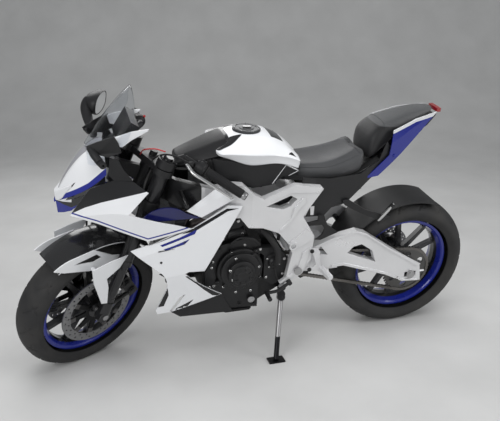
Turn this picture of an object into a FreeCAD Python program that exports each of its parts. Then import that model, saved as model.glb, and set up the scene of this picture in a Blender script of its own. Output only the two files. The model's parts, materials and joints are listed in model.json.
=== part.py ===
import FreeCAD, Part
import functools
import math
import os
import sys

import Sketcher
from FreeCAD import Placement, Rotation, Vector

# Sport motorcycle on its side stand, millimetres.
# Every piece is drawn upright in the bike's own axes: x runs forward from the rear axle,
# y to the rider's left, z up from the ground. The parked pose is put on at the end.

doc = FreeCAD.newDocument("sport_bike")
sheet = doc.addObject("Spreadsheet::Sheet", "sizes")

# Driving dimensions: alias, value, meaning
SIZES = (
    ("wheelbase", 1420, "rear axle to front axle"),
    ("rake", 22.58, "steering axis back from vertical, degrees"),
    ("fork_offset", 28.4, "front axle ahead of the steering axis"),
    ("lean", 10.5, "parked lean to the left, degrees"),
    ("lock", 30, "steering lock to each side, degrees"),
    ("origin_ahead", 690, "middle of the parked bike, ahead of the rear axle"),
    ("origin_side", 90, "middle of the parked bike, left of the tyres"),
    ("rear_tall", 96, "rear tyre height above the bead seat"),
    ("rear_width", 180, "rear tyre width"),
    ("front_tall", 81, "front tyre height above the bead seat"),
    ("front_width", 120, "front tyre width"),
    ("rim_radius", 219, "bead seat radius of a 17 inch rim"),
    ("rim_wall", 8, "rim barrel wall"),
    ("rim_lip", 8, "rim flange above the bead seat"),
    ("spoke_wide", 26, "spoke width at the hub"),
    ("spoke_tip", 17, "spoke width at the barrel"),
    ("spoke_thick", 24, "spoke thickness along the axle"),
    ("spoke_pairs", 5, "pairs of spokes"),
    ("hub_radius", 38, "front hub radius"),
    ("front_axle_radius", 12.5, "front axle radius"),
    ("rear_axle_radius", 12.5, "rear axle radius"),
    ("running_gap", 0.05, "radial clearance of an axle in its hub"),
    ("front_disc_radius", 160, "front brake disc radius"),
    ("rear_disc_radius", 110, "rear brake disc radius"),
    ("disc_thick", 5, "brake disc thickness"),
    ("front_disc_side", 66, "front disc middle plane from the centre"),
    ("rear_disc_side", 92, "rear disc middle plane from the centre"),
    ("fork_side", 107, "fork leg axis from the centre"),
    ("fork_tube_radius", 21.5, "fork slider radius"),
    ("fork_outer_radius", 28, "fork outer tube radius"),
    ("stem_radius", 15, "steering stem radius"),
    ("head_radius", 34, "steering head radius"),
    ("chain_pitch", 15.875, "chain pitch"),
    ("chain_line", 104, "chain middle plane from the centre"),
    ("front_teeth", 16, "drive sprocket teeth"),
    ("rear_teeth", 43, "driven sprocket teeth"),
    ("drive_x", 652, "drive sprocket ahead of the rear axle"),
    ("drive_z", 440, "drive sprocket above the ground"),
    ("pivot_x", 564, "swingarm pivot ahead of the rear axle"),
    ("pivot_z", 429, "swingarm pivot above the ground"),
    ("pivot_bolt_radius", 10, "swingarm pivot bolt radius"),
    ("arm_inner", 118, "swingarm arm inner face from the centre"),
    ("arm_outer", 150, "swingarm arm outer face from the centre"),
    ("stand_x", 612, "side stand pivot ahead of the rear axle"),
    ("stand_y", 138, "side stand pivot from the centre"),
    ("stand_z", 272, "side stand pivot above the ground"),
    ("stand_foot_x", 668, "side stand foot ahead of the rear axle"),
    ("stand_foot_y", 285, "side stand foot from the centre"),
    ("stand_fold", 105, "side stand travel up and back, degrees"),
    ("panel_wall", 4, "fairing panel wall"),
    ("m8_radius", 4, "hole of the mirror and paddock stand threads"),
    ("mirror_hole_deep", 18, "depth of the mirror thread"),
    ("spool_x", 62, "paddock stand thread ahead of the rear axle"),
    ("spool_z", 306, "paddock stand thread above the ground"),
)

for row, (alias, value, meaning) in enumerate(SIZES, start=1):
    sheet.set(f"A{row}", alias)
    sheet.set(f"B{row}", str(value))
    sheet.set(f"C{row}", meaning)
    sheet.setAlias(f"B{row}", alias)
doc.recompute()


def size(alias):
    return float(sheet.get(alias))


NODES = []

X_AXIS = Vector(1, 0, 0)
Y_AXIS = Vector(0, 1, 0)
Z_AXIS = Vector(0, 0, 1)

rake = math.radians(size("rake"))
STEER_UP = Vector(-math.sin(rake), 0, math.cos(rake))
STEER_AHEAD = Vector(math.cos(rake), 0, math.sin(rake))
REAR_RADIUS = size("rim_radius") + size("rear_tall")
FRONT_RADIUS = size("rim_radius") + size("front_tall")
REAR_AXLE = Vector(0, 0, REAR_RADIUS)
FRONT_AXLE = Vector(size("wheelbase"), 0, FRONT_RADIUS)
STEER_POINT = FRONT_AXLE - STEER_AHEAD * size("fork_offset")


# Helpers

def keep(piece, group="frame"):
    """Name a finished piece as a node of a moving group."""
    piece.Label = piece.Name
    NODES.append((piece, group))
    return piece


def feature(name, shape, group="frame"):
    piece = doc.addObject("Part::Feature", name)
    piece.Shape = shape
    return keep(piece, group)


def new_body(name, group, place=None):
    body = doc.addObject("PartDesign::Body", name)
    if place:
        body.Placement = place
    return keep(body, group)


def new_sketch(body, name, role):
    sketch = body.newObject("Sketcher::SketchObject", name)
    plane = [item for item in body.Origin.OriginFeatures if item.Role == role][0]
    sketch.AttachmentSupport = [(plane, "")]
    sketch.MapMode = "FlatFace"
    return sketch


def outline(sketch, corners):
    """Closed outline; each corner is a pair of expressions over the sheet."""
    doc.recompute()
    points = []
    for across, along in corners:
        points.append(Vector(float(sheet.evalExpression(across)), float(sheet.evalExpression(along)), 0))
    first = sketch.GeometryCount
    count = len(points)
    for index in range(count):
        sketch.addGeometry(Part.LineSegment(points[index], points[(index + 1) % count]), False)
    for index in range(count):
        line = first + index
        after = first + (index + 1) % count
        sketch.addConstraint(Sketcher.Constraint("Coincident", line, 2, after, 1))
    for index, (across, along) in enumerate(corners):
        line = first + index
        for kind, text, value in (("DistanceX", across, points[index].x), ("DistanceY", along, points[index].y)):
            row = sketch.addConstraint(Sketcher.Constraint(kind, -1, 1, line, 1, value))
            sketch.setExpression(f"Constraints[{row}]", text.replace("sizes.", "<<sizes>>."))


def circle(sketch, across, along, radius):
    """Circle whose centre and radius are expressions over the sheet."""
    centre = Vector(float(sheet.evalExpression(across)), float(sheet.evalExpression(along)), 0)
    item = sketch.addGeometry(Part.Circle(centre, Z_AXIS, float(sheet.evalExpression(radius))), False)
    rows = (
        (Sketcher.Constraint("DistanceX", -1, 1, item, 3, centre.x), across),
        (Sketcher.Constraint("DistanceY", -1, 1, item, 3, centre.y), along),
        (Sketcher.Constraint("Radius", item, float(sheet.evalExpression(radius))), radius),
    )
    for constraint, text in rows:
        row = sketch.addConstraint(constraint)
        sketch.setExpression(f"Constraints[{row}]", text.replace("sizes.", "<<sizes>>."))


def revolve(body, sketch):
    """Full turn about the body's Y axis."""
    turn = body.newObject("PartDesign::Revolution", sketch.Name + "_turn")
    turn.Profile = sketch
    turn.ReferenceAxis = (sketch, ["V_Axis"])
    turn.Angle = 360
    sketch.Visibility = False
    return turn


def polygon(points, plane="xz"):
    """Closed face of (a, b) points in the xz, xy or yz plane.

    A point of four numbers, (a, b, c, d), ends an arc that passes through (c, d).
    """
    make = {
        "xz": lambda a, b: Vector(a, 0, b),
        "xy": lambda a, b: Vector(a, b, 0),
        "yz": lambda a, b: Vector(0, a, b),
    }[plane]
    points = list(points)
    edges = []
    for before, point in zip(points[-1:] + points[:-1], points):
        start = make(*before[:2])
        end = make(*point[:2])
        if len(point) == 4:
            edges.append(Part.Arc(start, make(*point[2:]), end).toShape())
        else:
            edges.append(Part.makeLine(start, end))
    return Part.Face(Part.Wire(edges))


# Axles of the side view that the outlines below are drawn on
DRAWN_REAR = Vector(0, 0, 315)
DRAWN_FRONT = Vector(1420, 0, 300)


def follow(x, y, z):
    """Drawn place, moved with the front end ahead of the engine and with the rear axle behind the pivot."""
    ahead = min(max((x - 700) / 350, 0), 1)
    behind = min(max((400 - x) / 340, 0), 1)
    return Vector(x, y, z) + (FRONT_AXLE - DRAWN_FRONT) * ahead + (REAR_AXLE - DRAWN_REAR) * behind


def side_plate(points, low, high):
    """Plate on a side outline of the drawn machine."""
    moved = []
    for point in points:
        place = follow(point[0], 0, point[1])
        moved.append((place.x, place.z))
        if len(point) == 4:
            via = follow(point[2], 0, point[3])
            moved[-1] += (via.x, via.z)
    return plate(moved, low, high)


def side_rod(x, z, radius, low, high):
    """Cylinder along y at a place of the drawn machine."""
    place = follow(x, 0, z)
    return cross_rod(place.x, place.z, radius, low, high)


def plate(points, low, high):
    """Side outline pulled from y = low to y = high."""
    face = polygon(points)
    face.translate(Vector(0, low, 0))
    return face.extrude(Vector(0, high - low, 0))


def mirrored(shape):
    return shape.mirror(Vector(0, 0, 0), Y_AXIS)


def rod(start, end, radius):
    axis = end - start
    return Part.makeCylinder(radius, axis.Length, start, axis)


def cross_rod(x, z, radius, low, high):
    """Cylinder along y."""
    return Part.makeCylinder(radius, high - low, Vector(x, low, z), Y_AXIS)


def pipe(points, radius, bend, bore=None):
    """Round tube along straight runs joined by tangent arcs."""
    edges = []
    start = points[0]
    for before, corner, after in zip(points, points[1:], points[2:]):
        back = (before - corner).normalize()
        ahead = (after - corner).normalize()
        half = back.getAngle(ahead) / 2
        reach = bend / math.tan(half)
        middle = (back + ahead).normalize()
        centre = corner + middle * (bend / math.sin(half))
        arc_start = corner + back * reach
        arc_end = corner + ahead * reach
        edges.append(Part.LineSegment(start, arc_start).toShape())
        edges.append(Part.Arc(arc_start, centre - middle * bend, arc_end).toShape())
        start = arc_end
    edges.append(Part.LineSegment(start, points[-1]).toShape())
    path = Part.Wire(edges)
    outer = sweep_round(path, points, radius)
    if bore:
        outer = outer.cut(sweep_round(path, points, bore))
    return outer


def sweep_round(path, points, radius):
    ring = Part.Wire(Part.makeCircle(radius, points[0], points[1] - points[0]))
    return path.makePipeShell([ring], True, False)


def loft(sections, straight=True):
    """Solid through closed rings of equal count; curved lengthwise unless straight."""
    wires = [Part.makePolygon([follow(*point) for point in ring + ring[:1]]) for ring in sections]
    return Part.makeLoft(wires, True, straight)


def skin(lines, wall):
    """Left panel wall between smooth lines of (x, y, z) points, creased along each line."""
    curves = []
    for line in lines:
        curve = Part.BSplineCurve()
        curve.interpolate([follow(*point) for point in line])
        curves.append(curve.toShape())
    strips = [Part.makeRuledSurface(*pair).extrude(Y_AXIS * -wall) for pair in zip(curves, curves[1:])]
    return strips[0].multiFuse(strips[1:])


def biggest(shape):
    return max(shape.Solids, key=lambda solid: solid.Volume)


def on_steering(up, ahead, side):
    """Point given by its distance up the steering axis, ahead of it and to the left."""
    return STEER_POINT + STEER_UP * up + STEER_AHEAD * ahead + Y_AXIS * side


# Wheels

# Tyre section from bead to crown: share of the half width, share of the height above the rim
TYRE_SECTION = (
    (0.596, 0), (0.596, 0.12), (0.86, 0.24), (1, 0.48), (0.94, 0.68), (0.74, 0.87), (0.42, 0.97), (0.14, 1),
)


def tyre(name, group, axle, height, width):
    body = new_body(name, group, Placement(axle, Rotation()))
    profile = new_sketch(body, name + "_profile", "XY_Plane")
    tall = f"sizes.{height}"
    right = []
    for wide, high in TYRE_SECTION:
        right.append((f"sizes.rim_radius + {high} * {tall}", f"{wide} * sizes.{width} / 2"))
    left = [(high, f"-({wide})") for high, wide in reversed(right)]
    inside = [
        (f"sizes.rim_radius + 0.12 * {tall}", f"-0.5 * sizes.{width} / 2"),
        (f"sizes.rim_radius + 0.12 * {tall}", f"0.5 * sizes.{width} / 2"),
    ]
    outline(profile, right + left + inside)
    revolve(body, profile)


def rim(name, group, axle, width, hub_half, axle_radius, hub):
    body = new_body(name, group, Placement(axle, Rotation()))
    core = new_sketch(body, name + "_hub", "XY_Plane")
    bore = f"sizes.{axle_radius} + sizes.running_gap"
    outline(core, ((bore, f"-{hub_half}"), (hub, f"-{hub_half}"), (hub, f"{hub_half}"), (bore, f"{hub_half}")))
    revolve(body, core)
    spokes = new_sketch(body, name + "_spoke", "XZ_Plane")
    reach = "sizes.rim_radius - 10"
    for side in ("", "-"):
        outline(spokes, (
            (f"{hub} - 6", f"{side}(4)"),
            (f"{hub} - 10", f"{side}(4 + sizes.spoke_wide)"),
            (reach, f"{side}(46 + sizes.spoke_tip)"),
            (reach, f"{side}(46)"),
        ))
    arm = body.newObject("PartDesign::Pad", name + "_spoke_pad")
    arm.Profile = spokes
    arm.Midplane = True
    arm.setExpression("Length", "<<sizes>>.spoke_thick")
    doc.recompute()
    fan = body.newObject("PartDesign::PolarPattern", name + "_spokes")
    fan.Originals = [arm]
    fan.Axis = (core, ["V_Axis"])
    fan.Angle = 360
    fan.setExpression("Occurrences", "<<sizes>>.spoke_pairs")
    body.Tip = fan
    doc.recompute()
    barrel = new_sketch(body, name + "_barrel", "XY_Plane")
    inner = f"sizes.{width} * 0.3"
    outer = f"sizes.{width} * 0.335"
    seat = "sizes.rim_radius - 0.3"
    lip = "sizes.rim_radius + sizes.rim_lip"
    back = "sizes.rim_radius - sizes.rim_wall"
    outline(barrel, (
        (f"{back} - 14", "-14"), (f"{back} - 14", "14"), (back, inner), (f"{back} + 5", outer), (lip, outer),
        (lip, inner), (seat, inner), (seat, f"{inner} - 12"), (f"{seat} - 3", f"{inner} - 16"),
        (f"{seat} - 3", f"-({inner} - 16)"), (seat, f"-({inner} - 12)"), (seat, f"-({inner})"), (lip, f"-({inner})"),
        (lip, f"-({outer})"), (f"{back} + 5", f"-({outer})"), (back, f"-({inner})"),
    ))
    revolve(body, barrel)


def disc_shape(radius, bore, side):
    """Brake disc with two rings of drilled holes, on a wheel axis along y."""
    thick = size("disc_thick")
    ring = cross_rod(0, 0, radius, side - thick / 2, side + thick / 2)
    ring = ring.cut(cross_rod(0, 0, bore, side - thick, side + thick))
    holes = []
    for row, count in ((0.92, 24), (0.83, 24)):
        for index in range(count):
            turn = 2 * math.pi * (index + (0.5 if row < 0.9 else 0)) / count
            x = radius * row * math.cos(turn)
            z = radius * row * math.sin(turn)
            holes.append(cross_rod(x, z, 4, side - thick, side + thick))
    return ring.cut(Part.makeCompound(holes))


def carrier_shape(hub, reach, side, arms):
    """Star that carries a disc on the hub, a little thicker than the disc."""
    thick = size("disc_thick") / 2 + 0.8
    points = []
    for index in range(arms):
        for offset, radius in ((-0.34, hub + 18), (-0.13, reach), (0.13, reach), (0.34, hub + 18)):
            turn = 2 * math.pi * (index + offset) / arms
            points.append((radius * math.cos(turn), radius * math.sin(turn)))
    star = plate(points, side - thick, side + thick)
    return star.cut(cross_rod(0, 0, hub, side - 2 * thick, side + 2 * thick))


def brake_disc(axle, radius, bore, hub, side, arms):
    shape = disc_shape(radius, bore, side).fuse(carrier_shape(hub, bore + 4, side, arms))
    shape.translate(axle)
    return shape


def front_discs():
    side = size("front_disc_side")
    one = brake_disc(FRONT_AXLE, size("front_disc_radius"), 124, size("hub_radius") + 0.3, side, 10)
    feature("front_discs", Part.makeCompound([one, mirrored(one)]), "front_wheel")


def rear_disc():
    side = -size("rear_disc_side")
    one = brake_disc(REAR_AXLE, size("rear_disc_radius"), 82, 42.3, side, 6)
    feature("rear_disc", one, "rear_wheel")


def pitch_radius(teeth):
    return size("chain_pitch") / (2 * math.sin(math.pi / teeth))


def sprocket_shape(teeth, thick, hub):
    """Toothed ring: each tooth is a short trapezoid on the root circle."""
    root = pitch_radius(teeth) - 5.1
    tip = pitch_radius(teeth) + 4.2
    points = []
    for index in range(teeth):
        for offset, radius in ((-0.34, root), (-0.14, tip), (0.14, tip), (0.34, root)):
            turn = 2 * math.pi * (index + 0.5 + offset) / teeth
            points.append((radius * math.cos(turn), radius * math.sin(turn)))
    wheel = plate(points, -thick / 2, thick / 2)
    return wheel.cut(cross_rod(0, 0, hub, -thick, thick))


def rear_sprocket():
    wheel = sprocket_shape(int(size("rear_teeth")), 5.8, 42.3)
    holes = []
    for index in range(6):
        turn = math.pi * (index + 0.5) / 3
        holes.append(cross_rod(78 * math.cos(turn), 78 * math.sin(turn), 15, -9, 9))
    wheel = wheel.cut(Part.makeCompound(holes))
    wheel.translate(REAR_AXLE + Y_AXIS * size("chain_line"))
    feature("rear_sprocket", wheel, "rear_wheel")


def belt_outline(offset):
    """Loop round both sprockets at a distance from the pitch line, as a list of (x, z)."""
    small = pitch_radius(int(size("front_teeth"))) + offset
    large = pitch_radius(int(size("rear_teeth"))) + offset
    dx = size("drive_x")
    dz = size("drive_z") - REAR_RADIUS
    apart = math.hypot(dx, dz)
    tilt = math.atan2(dz, dx)
    spread = math.acos((large - small) / apart)
    points = []
    for centre, radius, start, end, count in (
        (Vector(dx, 0, size("drive_z")), small, tilt - spread, tilt + spread, 10),
        (REAR_AXLE, large, tilt + spread, tilt - spread + 2 * math.pi, 26),
    ):
        for index in range(count + 1):
            turn = start + (end - start) * index / count
            points.append((centre.x + radius * math.cos(turn), centre.z + radius * math.sin(turn)))
    return points


def link_edge(at_pin, at_waist):
    """Edge of the chain's plates: one distance from the pitch line beside a pin, another between two pins."""
    loop = belt_outline(0)
    loop = [Vector(x, 0, z) for x, z in loop]
    sides = [(start, end - start) for start, end in zip(loop, loop[1:] + loop[:1])]
    whole = sum(side.Length for _, side in sides)
    links = 2 * round(whole / size("chain_pitch") / 2)
    points = []
    passed = 0
    index = 0
    for start, side in sides:
        while index * whole / links / 2 < passed + side.Length - 0.01:
            way = side / side.Length
            spot = start + way * (index * whole / links / 2 - passed)
            offset = at_waist if index % 2 else at_pin
            points.append((spot.x + way.z * offset, spot.z - way.x * offset))
            index += 1
        passed += side.Length
    return points


def chain():
    """Closed loop of waisted link plates on both sides of the teeth, with rollers on the straight runs."""
    line = size("chain_line")
    rows = []
    for low, high in ((3.7, 6.0), (-6.0, -3.7)):
        outer = plate(link_edge(7.4, 5.2), line + low, line + high)
        inner = plate(link_edge(-7.4, -5.2), line + low - 1, line + high + 1)
        rows.append(outer.cut(inner))
    pins = link_edge(0, 0)[::2]
    rollers = []
    for before, spot, after in zip(pins, pins[1:], pins[2:]):
        run = Vector(after[0] - before[0], 0, after[1] - before[1])
        straight = run.Length > 1.9996 * size("chain_pitch")
        if straight and REAR_AXLE.x + 130 < spot[0] < size("drive_x") - 60:
            rollers.append(cross_rod(spot[0], spot[1], 4.5, line - 4.5, line + 4.5))
    shape = rows[0].multiFuse([rows[1]] + rollers)
    feature("chain", shape)


def drive_sprocket():
    wheel = sprocket_shape(int(size("front_teeth")), 5.8, 10)
    hub = cross_rod(0, 0, 17, -16, 8)
    wheel = wheel.fuse(hub)
    wheel.translate(Vector(size("drive_x"), size("chain_line"), size("drive_z")))
    feature("drive_sprocket", wheel)


# Frame and swingarm

FRAME_SIDE = (
    (481, 798), (554, 690), (557, 679), (501, 585), (507, 474), (533, 421), (634, 343), (618, 364),
    (593, 514), (612, 559), (659, 618), (729, 651), (790, 660), (824, 705), (960, 700), (1080, 748),
    (1192, 800), (1150, 884), (1060, 848), (930, 830), (860, 846), (815, 844), (768, 800), (731, 778),
    (603, 826), (490, 808),
)
FRAME_WINDOW = ((721, 745), (620, 782), (590, 764), (616, 736), (649, 725))
FRAME_PLAN_OUTER = (
    (470, 176), (600, 178), (780, 188), (840, 180), (890, 166), (960, 156), (1040, 110), (1100, 70), (1192, 38),
)
FRAME_PLAN_INNER = ((1192, 8), (1100, 34), (1040, 76), (950, 124), (880, 134), (790, 153), (470, 153))


# Raised ribs and pads on the outer face: side outline, then how far they reach across
FRAME_RIBS = (
    (((557, 768), (569, 770), (601, 726), (612, 681), (657, 633), (646, 626), (611, 665), (585, 715), (555, 750)), 185),
    (((488, 805), (601, 829), (724, 782), (742, 764), (791, 722), (770, 712), (722, 757), (622, 794), (500, 786)), 184),
    (((608, 572), (538, 623), (513, 602), (505, 574), (575, 538)), 184),
    (((514, 536), (537, 427), (637, 372), (643, 381), (565, 431), (547, 513)), 183),
)
RING_BOSS = (594, 552)

# Panel brackets on the spars: x, z, start beside the spar
FAIRING_LUGS = ((1044, 800, 100), (930, 795, 140))


def main_frame():
    side = side_plate(FRAME_SIDE, 0, 220).cut(side_plate(FRAME_WINDOW, 0, 220))
    band = polygon(FRAME_PLAN_OUTER + FRAME_PLAN_INNER, "xy").extrude(Vector(0, 0, 1200))
    spar = side.common(band)
    ribs = [side_plate(rib, 168, reach).cut(side_plate(FRAME_WINDOW, 0, 220)) for rib, reach in FRAME_RIBS]
    ribs.append(side_rod(*RING_BOSS, 18, 168, 190))
    spar = spar.multiFuse(ribs).cut(side_rod(*RING_BOSS, 11, 180, 200))
    base = on_steering(548, 0, 0)
    top = on_steering(650, 0, 0)
    head = rod(base, top, size("head_radius"))
    bridge = Part.makeBox(60, 308, 40, Vector(505, -154, 672))
    pivot = cross_rod(size("pivot_x"), size("pivot_z"), 30, 152.6, 178)
    lugs = []
    for x, z, start in FAIRING_LUGS:
        lug = side_rod(x, z, 8, start, 230).cut(cowl_shape()).cut(upper_cover_shape())
        lug = sorted(lug.Solids, key=lambda solid: solid.CenterOfMass.y)[0]
        lugs += [lug, mirrored(lug)]
    tank_rest = side_rod(806, 802, 10, -156, 156)
    mounts = [side_rod(850, 715, 14, 120, 145), side_rod(850, 715, 14, -145, -120)]
    mounts += [side_rod(616, 354, 11, 84, 156), side_rod(616, 354, 11, -156, -140)]
    shape = head.multiFuse([spar, mirrored(spar), bridge, pivot, mirrored(pivot), tank_rest] + lugs + mounts)
    bore = rod(base - STEER_UP * 5, top + STEER_UP * 5, size("stem_radius") + size("running_gap"))
    bolt = cross_rod(size("pivot_x"), size("pivot_z"), size("pivot_bolt_radius"), -200, 200)
    feature("main_frame", shape.cut(bore).cut(bolt))


ARM_SIDE = (
    (-43, 354), (130, 471), (250, 555), (297, 572), (412, 549), (495, 515), (592, 452), (592, 405),
    (477, 398), (397, 405), (342, 408), (262, 379), (130, 332), (39, 285), (-58, 275),
)
ARM_WINDOW = ((328, 465), (302, 494), (264, 502), (210, 464), (185, 402))
ARM_SLOT = ((455, 515), (420, 470), (480, 478))
# Raised ribs on the outer face: along the upper edge, along the lower edge, round the axle slot
ARM_RIBS = (
    ((-30, 354), (130, 459), (250, 545), (297, 562), (412, 539), (495, 506), (495, 515), (412, 549), (297, 572),
     (250, 555), (130, 471), (-43, 366)),
    ((-40, 284), (39, 296), (130, 343), (262, 391), (342, 420), (397, 417), (397, 405), (342, 408), (262, 379),
     (130, 332), (39, 285), (-45, 278)),
)


def swingarm():
    inner = size("arm_inner")
    outer = size("arm_outer")
    arm = side_plate(ARM_SIDE, inner, outer).cut(side_plate(ARM_WINDOW, 0, 200)).cut(side_plate(ARM_SLOT, 0, 200))
    seat = cross_rod(size("spool_x"), size("spool_z"), 14, outer, outer + 10)
    for rib in ARM_RIBS:
        arm = arm.fuse(side_plate(rib, outer - 2, outer + 5).cut(seat))
    slot = Part.makeBox(56, 100, 25.4, Vector(-28, 90, REAR_RADIUS - 12.7))
    arm = arm.cut(slot)
    screw = rod(Vector(-78, (inner + outer) / 2, REAR_RADIUS), Vector(-40, (inner + outer) / 2, REAR_RADIUS), 5)
    arm = arm.fuse(screw)
    cross = Part.makeBox(96, 2 * inner + 2, 58, Vector(352, -inner - 1, 376))
    tube = cross_rod(size("pivot_x"), size("pivot_z"), 26, -outer, outer)
    beams = []
    for low in (-92, 58):
        beams.append(Part.makeBox(110, 34, 50, Vector(440, low, 382)))
    shape = arm.multiFuse([mirrored(arm), cross, tube] + beams)
    bolt = cross_rod(size("pivot_x"), size("pivot_z"), size("pivot_bolt_radius"), -outer - 5, outer + 5)
    spool = cross_rod(size("spool_x"), size("spool_z"), size("m8_radius"), -outer - 5, outer + 5)
    feature("swingarm", shape.cut(bolt).cut(spool))


def pivot_bolt():
    x = size("pivot_x")
    z = size("pivot_z")
    shaft = cross_rod(x, z, size("pivot_bolt_radius"), -184, 184)
    face = FRAME_RIBS[3][1]
    shape = shaft.fuse(cross_rod(x, z, 17, face, face + 8)).fuse(cross_rod(x, z, 17, -face - 8, -face))
    feature("pivot_bolt", shape)


def rear_axle():
    shaft = REAR_AXLE
    radius = size("rear_axle_radius")
    shape = cross_rod(shaft.x, shaft.z, radius, -160, 160)
    for side in (-1, 1):
        low, high = sorted((side * 150, side * 158))
        shape = shape.fuse(cross_rod(shaft.x, shaft.z, 20, low, high))
    feature("rear_axle", shape)


def subframe():
    runs = (
        (Vector(530, 140.7, 768), Vector(380, 118, 770), Vector(200, 84, 850), Vector(20, 58, 985)),
        (Vector(505, 140.7, 690), Vector(360, 112, 700), Vector(180, 80, 862)),
    )
    tubes = [pipe(list(run), 12, 60) for run in runs]
    tubes += [mirrored(tube) for tube in tubes]
    for x, z, half in ((486, 768, 138), (180, 862, 80), (60, 955, 62)):
        tubes.append(cross_rod(x, z, 11, -half, half))
    feature("subframe", tubes[0].multiFuse(tubes[1:]).cut(doc.getObject("main_frame").Shape))


def shock():
    low = Vector(484, 0, 304)
    high = Vector(530, 0, 657.7)
    body = rod(low, high, 12)
    coils = []
    for turn in range(7):
        centre = low + (high - low) * (0.24 + 0.08 * turn)
        coils.append(Part.makeTorus(24, 6, centre, high - low))
    sleeve = rod(low + (high - low) * 0.22, low + (high - low) * 0.78, 20)
    ends = [cross_rod(point.x, point.z, 14, -22, 22) for point in (low, high)]
    rocker = ((394, 375.7), (446, 375.7), (506, 304), (484, 282), (462, 290))
    links = [plate(rocker, side, side + 8) for side in (-30, 22)]
    feature("rear_shock", body.multiFuse([sleeve] + coils + ends + links))


# Engine

CASE_SIDE = (
    (600, 300), (596, 470), (640, 548), (770, 590), (905, 560), (965, 470), (960, 330), (900, 262), (700, 240),
)
HEAD_SIDE = ((770, 590), (905, 560), (950, 702), (828, 742))
# Cap screws along the case joint: x, z
CASE_BOLTS = ((893, 548), (800, 268), (735, 262))
# Raised covers on the left of the case and the head: side outline, how far they reach across
CASE_PADS = (
    (((915, 350), (950, 370), (955, 450), (925, 500), (908, 420)), 150),
)
HEAD_PADS = (
    (((792, 606), (888, 584), (912, 650), (812, 676)), 128),
    (((818, 690), (925, 662), (936, 694), (832, 728)), 132),
)


def engine_case():
    block = side_plate(CASE_SIDE, -140, 140)
    pocket = Part.makeBox(130, 80, 400, Vector(590, 84, 200))
    pan = side_plate(((700, 245), (885, 262), (870, 200), (840, 176), (730, 176)), -70, 70)
    details = [side_plate(pad, 130, reach) for pad, reach in CASE_PADS]
    for x, z in CASE_BOLTS:
        details += [side_rod(x, z, 9, 130, 144), side_rod(x, z, 6, 140, 150)]
    case = block.cut(pocket).fuse(pan).multiFuse(details)
    for level in (188, 204, 220, 236):
        case = case.fuse(Part.makeBox(140, 9, 5, follow(726, 68, level)))
    feature("engine_case", biggest(case))


def cylinder_head():
    head = side_plate(HEAD_SIDE, -120, 120)
    details = [side_plate(pad, 110, reach) for pad, reach in HEAD_PADS]
    for x, z in ((800, 612), (880, 592), (904, 646), (818, 668), (930, 676), (838, 716)):
        details.append(side_rod(x, z, 6, 110, 138))
    details += [mirrored(detail) for detail in details]
    feature("cylinder_head", head.multiFuse(details).cut(doc.getObject("main_frame").Shape))


# Bolts of the generator cover: x, z
GENERATOR_BOLTS = (
    (926, 470), (919, 491), (846, 535), (830, 510), (787, 555), (744, 530), (856, 467), (730, 461), (845, 421),
    (900, 398), (915, 379), (872, 363), (817, 329), (934, 376), (752, 328), (722, 403),
)


def stepped_cover(x, z, steps, bolts, soften):
    """Round cover on the left: steps of (radius, height), then cap screws with hexagon sockets."""
    place = follow(x, 0, z)
    base = 140
    shape = None
    for radius, height in steps:
        disc = Part.makeCylinder(radius, height, Vector(place.x, base, place.z), Y_AXIS)
        rim = [edge for edge in disc.Edges if abs(edge.CenterOfMass.y - base - height) < 0.1 and edge.Closed]
        disc = disc.makeFillet(min(soften, 0.6 * height), rim)
        shape = disc if shape is None else shape.fuse(disc)
        base += height
    for bolt_x, bolt_z in bolts:
        shape = shape.fuse(side_rod(bolt_x, bolt_z, 9, 140, 158)).fuse(side_rod(bolt_x, bolt_z, 5, 158, 164))
        spot = follow(bolt_x, 0, bolt_z)
        socket = [(spot.x + 2.6 * math.cos(turn), spot.z + 2.6 * math.sin(turn))
                  for turn in [math.pi * step / 3 for step in range(6)]]
        shape = shape.cut(plate(socket, 160, 165))
    return shape


def generator_cover():
    steps = ((98, 16), (84, 13), (56, 17), (38, 6))
    shape = stepped_cover(807, 448, steps, GENERATOR_BOLTS, 5)
    rib = side_plate(((742, 520), (872, 376), (882, 385), (752, 529)), 150, 166)
    feature("generator_cover", biggest(shape.fuse(rib).cut(doc.getObject("engine_case").Shape)))


def clutch_cover():
    bolts = []
    for step in range(9):
        turn = 2 * math.pi * step / 9
        bolts.append((745 + 108 * math.cos(turn), 440 + 108 * math.sin(turn)))
    left = stepped_cover(745, 440, ((112, 20), (92, 16), (40, 5)), bolts, 6)
    feature("clutch_cover", mirrored(left))


def sprocket_cover():
    side = ((606, 380), (602, 480), (640, 530), (735, 540), (735, 526), (704, 500), (700, 380), (660, 350))
    feature("sprocket_cover", side_plate(side, 120, 148).cut(doc.getObject("engine_case").Shape))


def exhaust():
    headers = []
    for side in (-80, 0, 80):
        route = [
            follow(925, side, 660), follow(1010, side, 638), follow(1020, side * 0.8, 400),
            follow(996, side * 0.5 - 30, 232), follow(900, side * 0.15 - 100, 196),
        ]
        headers.append(pipe(route, 19, 40))
    collector = rod(follow(912, -102, 198), Vector(650, -118, 205), 32)
    pipes = headers[0].multiFuse(headers[1:] + [collector])
    can = [(655, -165, -75, 160, 250), (540, -180, -84, 168, 300), (420, -200, -110, 215, 335)]
    rings = []
    for x, right, left, low, high in can:
        cut = (high - low) * 0.24
        rings.append([
            (x, right, low + cut), (x, right, high - cut), (x, right + cut, high), (x, left - cut, high),
            (x, left, high - cut), (x, left, low + cut), (x, left - cut, low), (x, right + cut, low),
        ])
    shape = pipes.fuse(loft(rings)).cut(doc.getObject("cylinder_head").Shape)
    feature("exhaust", sorted(shape.Solids, key=lambda solid: solid.Volume)[-1])


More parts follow.
